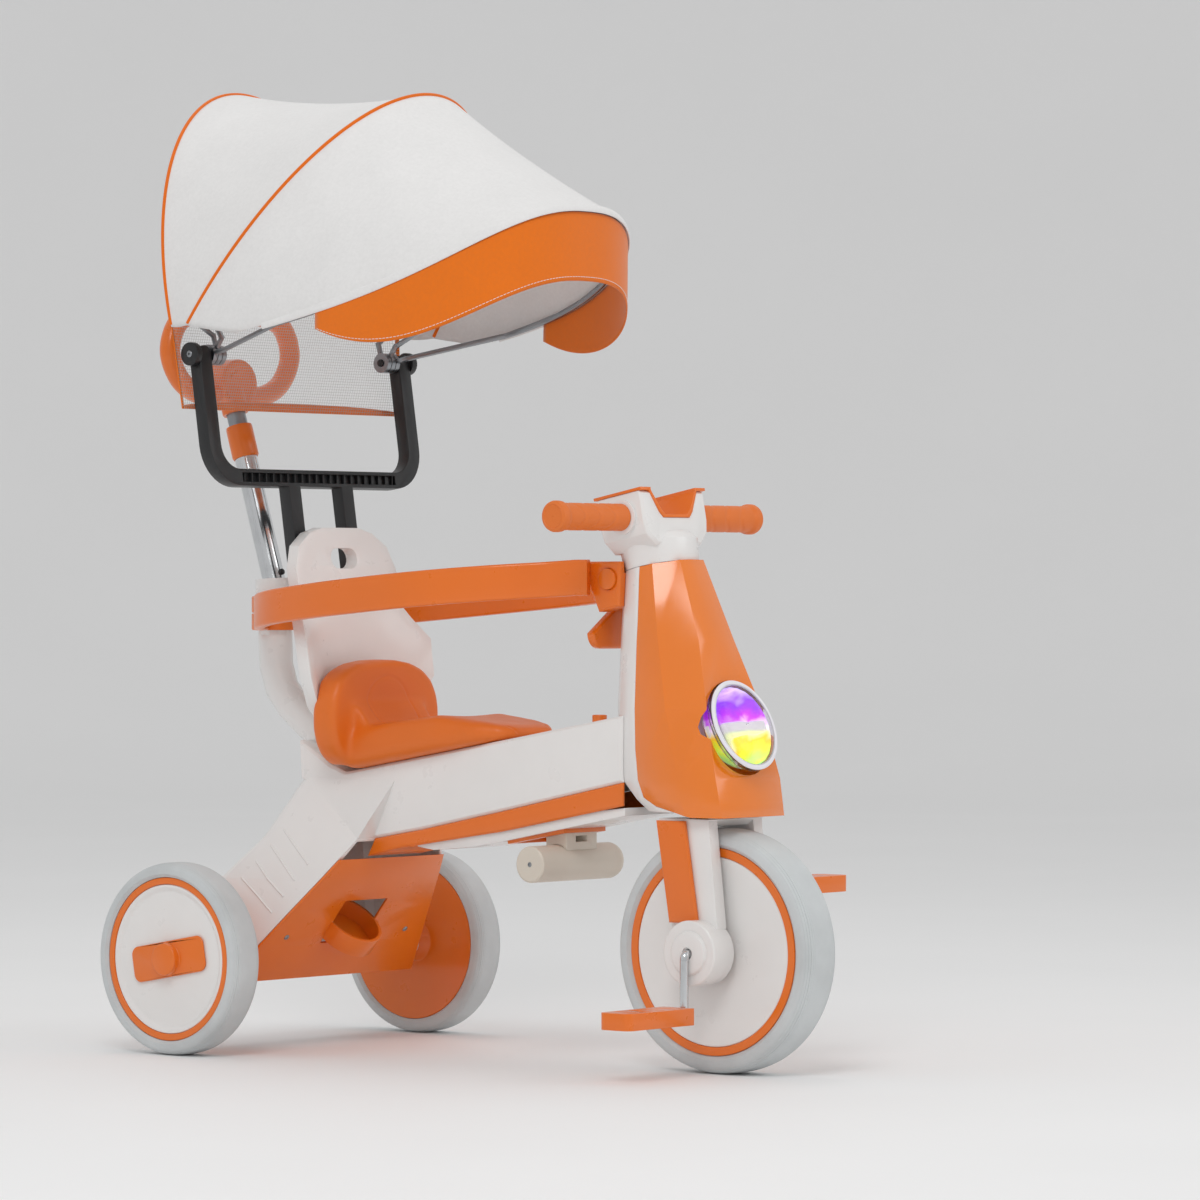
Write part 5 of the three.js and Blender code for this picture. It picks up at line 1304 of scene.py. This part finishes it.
class TRICYCLE_OT_bracket(bpy.types.Operator):
    """Black canopy bracket with its ribbed channels, knobs and screws"""

    bl_idname = "tricycle.bracket"
    bl_label = "Canopy bracket"

    def execute(self, context):
        refined("canopy_bracket", 0.8)
        foot = place(-268, 0, 558)
        lean = math.radians(8.6)
        up = Vector((-math.sin(lean), 0, math.cos(lean)))
        ahead = Vector((math.cos(lean), 0, math.sin(lean)))

        def on_bar(y, z, out):
            return foot + Vector((0, y * MM, 0)) + up * z * MM + ahead * out * MM

        bar = [[on_bar(y, 55, 4.9) for y in (-118, 118)]]
        from_tree("bracket_bar_ribs", rib_tree(), bar, "frame", "black")
        for side, sign in SIDES:
            pivot = middle("pivot_knob_" + side)
            knob = [
                (0.3, 171.4), (12.5, 171.4), (12.5, 173.6), (11.8, 175), (10.2, 175.8),
                (6.2, 175.8), (5.6, 174.8), (0.3, 174.8),
            ]
            centre = Vector((pivot.x, 0, pivot.z))
            piece = turned("pivot_cap_" + side, rounded(knob, 0.6), centre, (0, sign, 0), "black", 64)
            settle(piece, "frame", "black")
            refined("pivot_knob_" + side, 0.4)
            screw = [
                (0.2, 174.2), (4.2, 174.2), (4.2, 175.4), (3.2, 176.4), (1.3, 176.7), (1.1, 175.9),
                (0.2, 175.9),
            ]
            piece = turned("pivot_screw_" + side, screw, centre, (0, sign, 0), "steel", 32)
            settle(piece, "frame", "steel")
        return {"FINISHED"}


# ---------------------------------------------------------------- canopy

PIVOT = Vector((middle("pivot_knob_left").x, 0, middle("pivot_knob_left").z))
CANOPY_HALF_WIDTH = 186.0
BRIM_REACH = 384


def arch_point(t, tilt, reach, half_width, base):
    angle = t * math.pi / 2
    r = base + (reach - base) * math.cos(angle)
    lean = math.radians(tilt)
    return PIVOT + Vector((r * math.sin(lean), half_width * math.sin(angle), r * math.cos(lean))) * MM


def rear_edge(t):
    return arch_point(t, -17, 300, CANOPY_HALF_WIDTH, 10)


def middle_edge(t):
    return arch_point(t, 34.8, 329, CANOPY_HALF_WIDTH + 6, 14)


def brim_edge(t):
    angle = t * math.pi / 2
    side, front = abs(math.sin(angle)), max(0.0, math.cos(angle))
    x = 14 + BRIM_REACH * front**0.62
    y = CANOPY_HALF_WIDTH * math.copysign(side**0.8, t) if t else 0.0
    ahead = x / BRIM_REACH
    return PIVOT + Vector((x, y, 4 + 66 * ahead + 62 * ahead**4)) * MM


def fabric_point(t, s, outward):
    crown = math.cos(t * math.pi / 2)
    if s < 1:
        p = rear_edge(t).lerp(middle_edge(t), s)
        p.z -= 44 * MM * s * (1 - s) * crown
    else:
        p = middle_edge(t).lerp(brim_edge(t), s - 1)
        bulge = 4 * (s - 1) * (2 - s)
        p.z -= 8 * MM * bulge * crown
        p.y *= 1 + 0.02 * bulge
    away = (p - PIVOT - Vector((0.09, 0, -0.02))).normalized()
    return p + away * outward * MM


class TRICYCLE_OT_canopy(bpy.types.Operator):
    """One continuous canopy sheet with piping, hems, stitches and the brim's hanging band"""

    bl_idname = "tricycle.canopy"
    bl_label = "Canopy"

    EDGE = 0.96
    BAND = 0.82

    def execute(self, context):
        thick = sizes().cloth_thickness

        def surface(u, v):
            t = (2 * u - 1) * self.EDGE
            s = 2 * v
            pull = 0.8 * math.sin(9 * t + 4 * s) * math.sin(math.pi * (s % 1.0))
            return fabric_point(t, s, 6.3 + pull)

        cloth = sheet_mesh("canopy_cloth", 120, 96, surface, "cloth", thick)
        pieces = self.trims(surface)
        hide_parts("canopy_fabric")
        start, end = rear_edge(0), brim_edge(0)
        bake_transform(cloth)
        self.band(thick)
        self.bows()
        return {"FINISHED"}

    def trims(self, surface):
        radius = sizes().piping_radius
        pieces = []
        for name, v, body in (("piping_rear", 0.0, "frame"), ("piping_middle", 0.5, "canopy_arch")):
            path = [surface(0.002 + 0.996 * k / 160, v) + Vector((0, 0, 0.0004)) for k in range(161)]
            cord = swept(name, path, lambda i: circle(radius, 12), "piping")
            settle(cord, body, "piping")
            pieces.append(cord)
        path = [surface(0.02 + 0.96 * k / 200, 1.0) for k in range(201)]
        oval = [(0.0016 * math.cos(a * math.pi / 8), 0.0045 * math.sin(a * math.pi / 8)) for a in range(16)]
        roll = swept("brim_rolled_hem", path, lambda i: oval, "cloth")
        settle(roll, "canopy_brim", "cloth")
        pieces.append(roll)
        return pieces

    def band(self, thick):
        def hang(u, v):
            t = (2 * u - 1) * self.BAND
            edge = brim_edge(t)
            away = (edge - Vector((PIVOT.x + 0.12, 0, edge.z))).normalized()
            p = edge + away * (4.6 + 0.6 * math.sin(14 * t) * v) * MM
            drop = 72 * max(0.25, 1 - (abs(t) / self.BAND) ** 6 * 0.75)
            p.z -= (1.5 + v * drop) * MM
            return p

        band = sheet_mesh("canopy_band", 160, 16, hang, "band", thick)
        settle(band, "canopy_brim", "band", "canopy_valance")
        line = [hang(0.004 + 0.992 * k / 120, 0.94) for k in range(121)]
        lift = thick / 2 + 0.0002
        outward = [[p + (p - Vector((PIVOT.x + 0.12, 0, p.z))).normalized() * lift for p in line]]
        stitches = from_tree(
            "band_stitches", stitch_tree(), outward, "canopy_brim", "band",
            Spacing=sizes().stitch_spacing,
        )
        width = sum((hang((k + 1) / 60, 0) - hang(k / 60, 0)).length for k in range(60))

    def bows(self):
        for name, edge in (("bow_front", brim_edge), ("bow_middle", middle_edge), ("bow_rear", rear_edge)):
            path = [edge(0.9 * (k / 60 - 1)) for k in range(121)]
            rod = swept(name + "_rod", path, lambda i: circle(0.003, 14), "steel")
            settle(rod, BODY_OF[name], "steel")
            refined(name, 0.0)


CURTAIN_REACH = 0.9  # share of the rear bow that carries the net
CURTAIN_FOOT = 0.686
HEM_SHARE = 0.028


class TRICYCLE_OT_curtain(bpy.types.Operator):
    """See-through net behind the canopy with its orange side and bottom hems"""

    bl_idname = "tricycle.curtain"
    bl_label = "Net curtain"

    def surface(self, u, v):
        t = (2 * u - 1) * CURTAIN_REACH
        top = rear_edge(t)
        bottom = Vector((PIVOT.x - 0.006, top.y * 0.95, CURTAIN_FOOT))
        p = top.lerp(bottom, v)
        p.x -= 0.0048
        return p

    def execute(self, context):
        pitch = sizes().net_pitch
        corner = self.surface(0, 0), self.surface(1, 0)
        width = (corner[1] - corner[0]).length
        upright = []
        count = int(width / pitch)
        for k in range(1, count):
            across = max(-1.0, min(1.0, (2 * k / count - 1) * math.sin(CURTAIN_REACH * math.pi / 2)))
            u = math.asin(across) / (CURTAIN_REACH * math.pi / 2) / 2 + 0.5
            upright.append([self.surface(u, v / 16) for v in range(17)])
        level = []
        top, bottom = self.surface(0.5, 0).z, CURTAIN_FOOT
        steps = int((top - bottom) / pitch)
        for j in range(1, steps):
            z = bottom + (top - bottom) * j / steps
            row = []
            for k in range(61):
                u = k / 60
                a, b = self.surface(u, 0).z, CURTAIN_FOOT
                if a > z + 0.0005:
                    row.append(self.surface(u, (a - z) / (a - b)))
            if len(row) > 2:
                level.append(row)
        net = from_tree("curtain_net", strand_tree(), upright + level, "frame", "net")
        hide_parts("canopy_curtain")
        pieces = self.hems()
        grid = 60
        for i in range(grid):
            for j in range(grid):
                a = self.surface(i / grid, j / grid)
                b = self.surface((i + 1) / grid, j / grid)
                c = self.surface(i / grid, (j + 1) / grid)
        return {"FINISHED"}

    def hems(self):
        pieces = []
        behind = Vector((0.0009, 0, 0))
        for name, low, high in (
            ("curtain_hem_right", 0.0, HEM_SHARE),
            ("curtain_hem_left", 1 - HEM_SHARE, 1.0),
        ):
            def edge(u, v, low=low, high=high):
                return self.surface(low + (high - low) * u, v) - behind

            hem = sheet_mesh(name, 4, 20, edge, "band", 0.0012)
            settle(hem, "frame", "band")
            pieces.append(hem)
        hem = sheet_mesh(
            "curtain_hem_bottom", 60, 3, lambda u, v: self.surface(u, 1 - HEM_SHARE * v) - behind,
            "band", 0.0012,
        )
        settle(hem, "frame", "band")
        pieces.append(hem)
        return pieces


# ---------------------------------------------------------------- stage


FLOOR_RADIUS, FLOOR_RISE = 7.0, 2.6  # the floor curves up at its edge


class TRICYCLE_OT_stage(bpy.types.Operator):
    """Pale floor, soft studio lights and the camera"""

    bl_idname = "tricycle.stage"
    bl_label = "Stage"

    def execute(self, context):
        scene = context.scene
        profile = [(0.001, 0.0), (FLOOR_RADIUS / 2, 0.0), (FLOOR_RADIUS, 0.0)]
        for k in range(1, 13):
            angle = math.radians(90 * k / 12)
            out = FLOOR_RADIUS + FLOOR_RISE * math.sin(angle)
            profile.append((out, FLOOR_RISE - FLOOR_RISE * math.cos(angle)))
        sides = 96
        points, faces = [], []
        for radius, height in profile:
            for k in range(sides):
                turn = 2 * math.pi * k / sides
                points.append((radius * math.cos(turn), radius * math.sin(turn), height))
        for row in range(len(profile) - 1):
            for k in range(sides):
                a, b = row * sides + k, row * sides + (k + 1) % sides
                faces.append((a, b, b + sides, a + sides))
        floor = mesh_object("studio_floor", points, faces, "floor")
        world = bpy.data.worlds.new("studio_world")
        scene.world = world
        world.use_nodes = True
        world.node_tree.nodes["Background"].inputs["Color"].default_value = (1.0, 1.0, 1.0, 1.0)
        world.node_tree.nodes["Background"].inputs["Strength"].default_value = 0.62
        aim = place(0, 0, 450)
        power = sizes().key_light
        self.light("key_softbox", aim + Vector((1.6, -2.6, 2.6)), aim, 1.6, power)
        self.light("fill_softbox", aim + Vector((3.0, 1.2, 1.4)), aim, 1.8, power * 0.35)
        self.light("top_softbox", aim + Vector((-0.8, 0.4, 3.0)), aim, 1.5, power * 0.3)
        camera = bpy.data.cameras.new("studio_camera")
        camera.lens = 163.3
        camera.sensor_width = 36.0
        camera.clip_end = 60.0
        holder = bpy.data.objects.new("studio_camera", camera)
        scene.collection.objects.link(holder)
        holder.location = place(3732.2, -4359.7, 492.2)
        target = place(125.5, 0, 482.3)
        holder.rotation_euler = (target - holder.location).to_track_quat("-Z", "Y").to_euler()
        scene.camera = holder
        scene.view_settings.view_transform = "Standard"
        return {"FINISHED"}

    def light(self, name, where, aim, size, power):
        lamp = bpy.data.lights.new(name, "AREA")
        lamp.shape = "DISK"
        lamp.size = size
        lamp.energy = power
        holder = bpy.data.objects.new(name, lamp)
        bpy.context.scene.collection.objects.link(holder)
        holder.location = where
        holder.rotation_euler = (aim - where).to_track_quat("-Z", "Y").to_euler()


class TRICYCLE_PT_sidebar(bpy.types.Panel):
    """Sizes of the tricycle and the steps that build it"""

    bl_idname = "TRICYCLE_PT_sidebar"
    bl_label = "Tricycle"
    bl_space_type = "VIEW_3D"
    bl_region_type = "UI"
    bl_category = "Tricycle"

    def draw(self, context):
        for name in TricycleSizes.__annotations__:
            self.layout.prop(context.scene.tricycle_sizes, name)
        for name in TricycleColours.__annotations__:
            self.layout.prop(context.scene.tricycle_colours, name)
        for step in STEPS:
            self.layout.operator(step.bl_idname)


STEPS = (
    TRICYCLE_OT_stage,
    TRICYCLE_OT_tyres,
    TRICYCLE_OT_wheel_centres,
    TRICYCLE_OT_pedals,
    TRICYCLE_OT_shells,
    TRICYCLE_OT_leg_ribs,
    TRICYCLE_OT_fork,
    TRICYCLE_OT_handlebar,
    TRICYCLE_OT_lamp,
    TRICYCLE_OT_seat,
    TRICYCLE_OT_guard,
    TRICYCLE_OT_footrest,
    TRICYCLE_OT_push_pole,
    TRICYCLE_OT_bracket,
    TRICYCLE_OT_canopy,
    TRICYCLE_OT_curtain,
)


def register():
    for kind in (TricycleSizes, TricycleColours, *STEPS, TRICYCLE_PT_sidebar):
        bpy.utils.register_class(kind)
    bpy.types.Scene.tricycle_sizes = bpy.props.PointerProperty(type=TricycleSizes)
    bpy.types.Scene.tricycle_colours = bpy.props.PointerProperty(type=TricycleColours)


def unregister():
    del bpy.types.Scene.tricycle_sizes
    del bpy.types.Scene.tricycle_colours
    for kind in reversed((TricycleSizes, TricycleColours, *STEPS, TRICYCLE_PT_sidebar)):
        bpy.utils.unregister_class(kind)


def main():
    register()
    for step in STEPS:
        group, call = step.bl_idname.split(".")
        getattr(getattr(bpy.ops, group), call)()


if __name__ == "__main__":
    main()
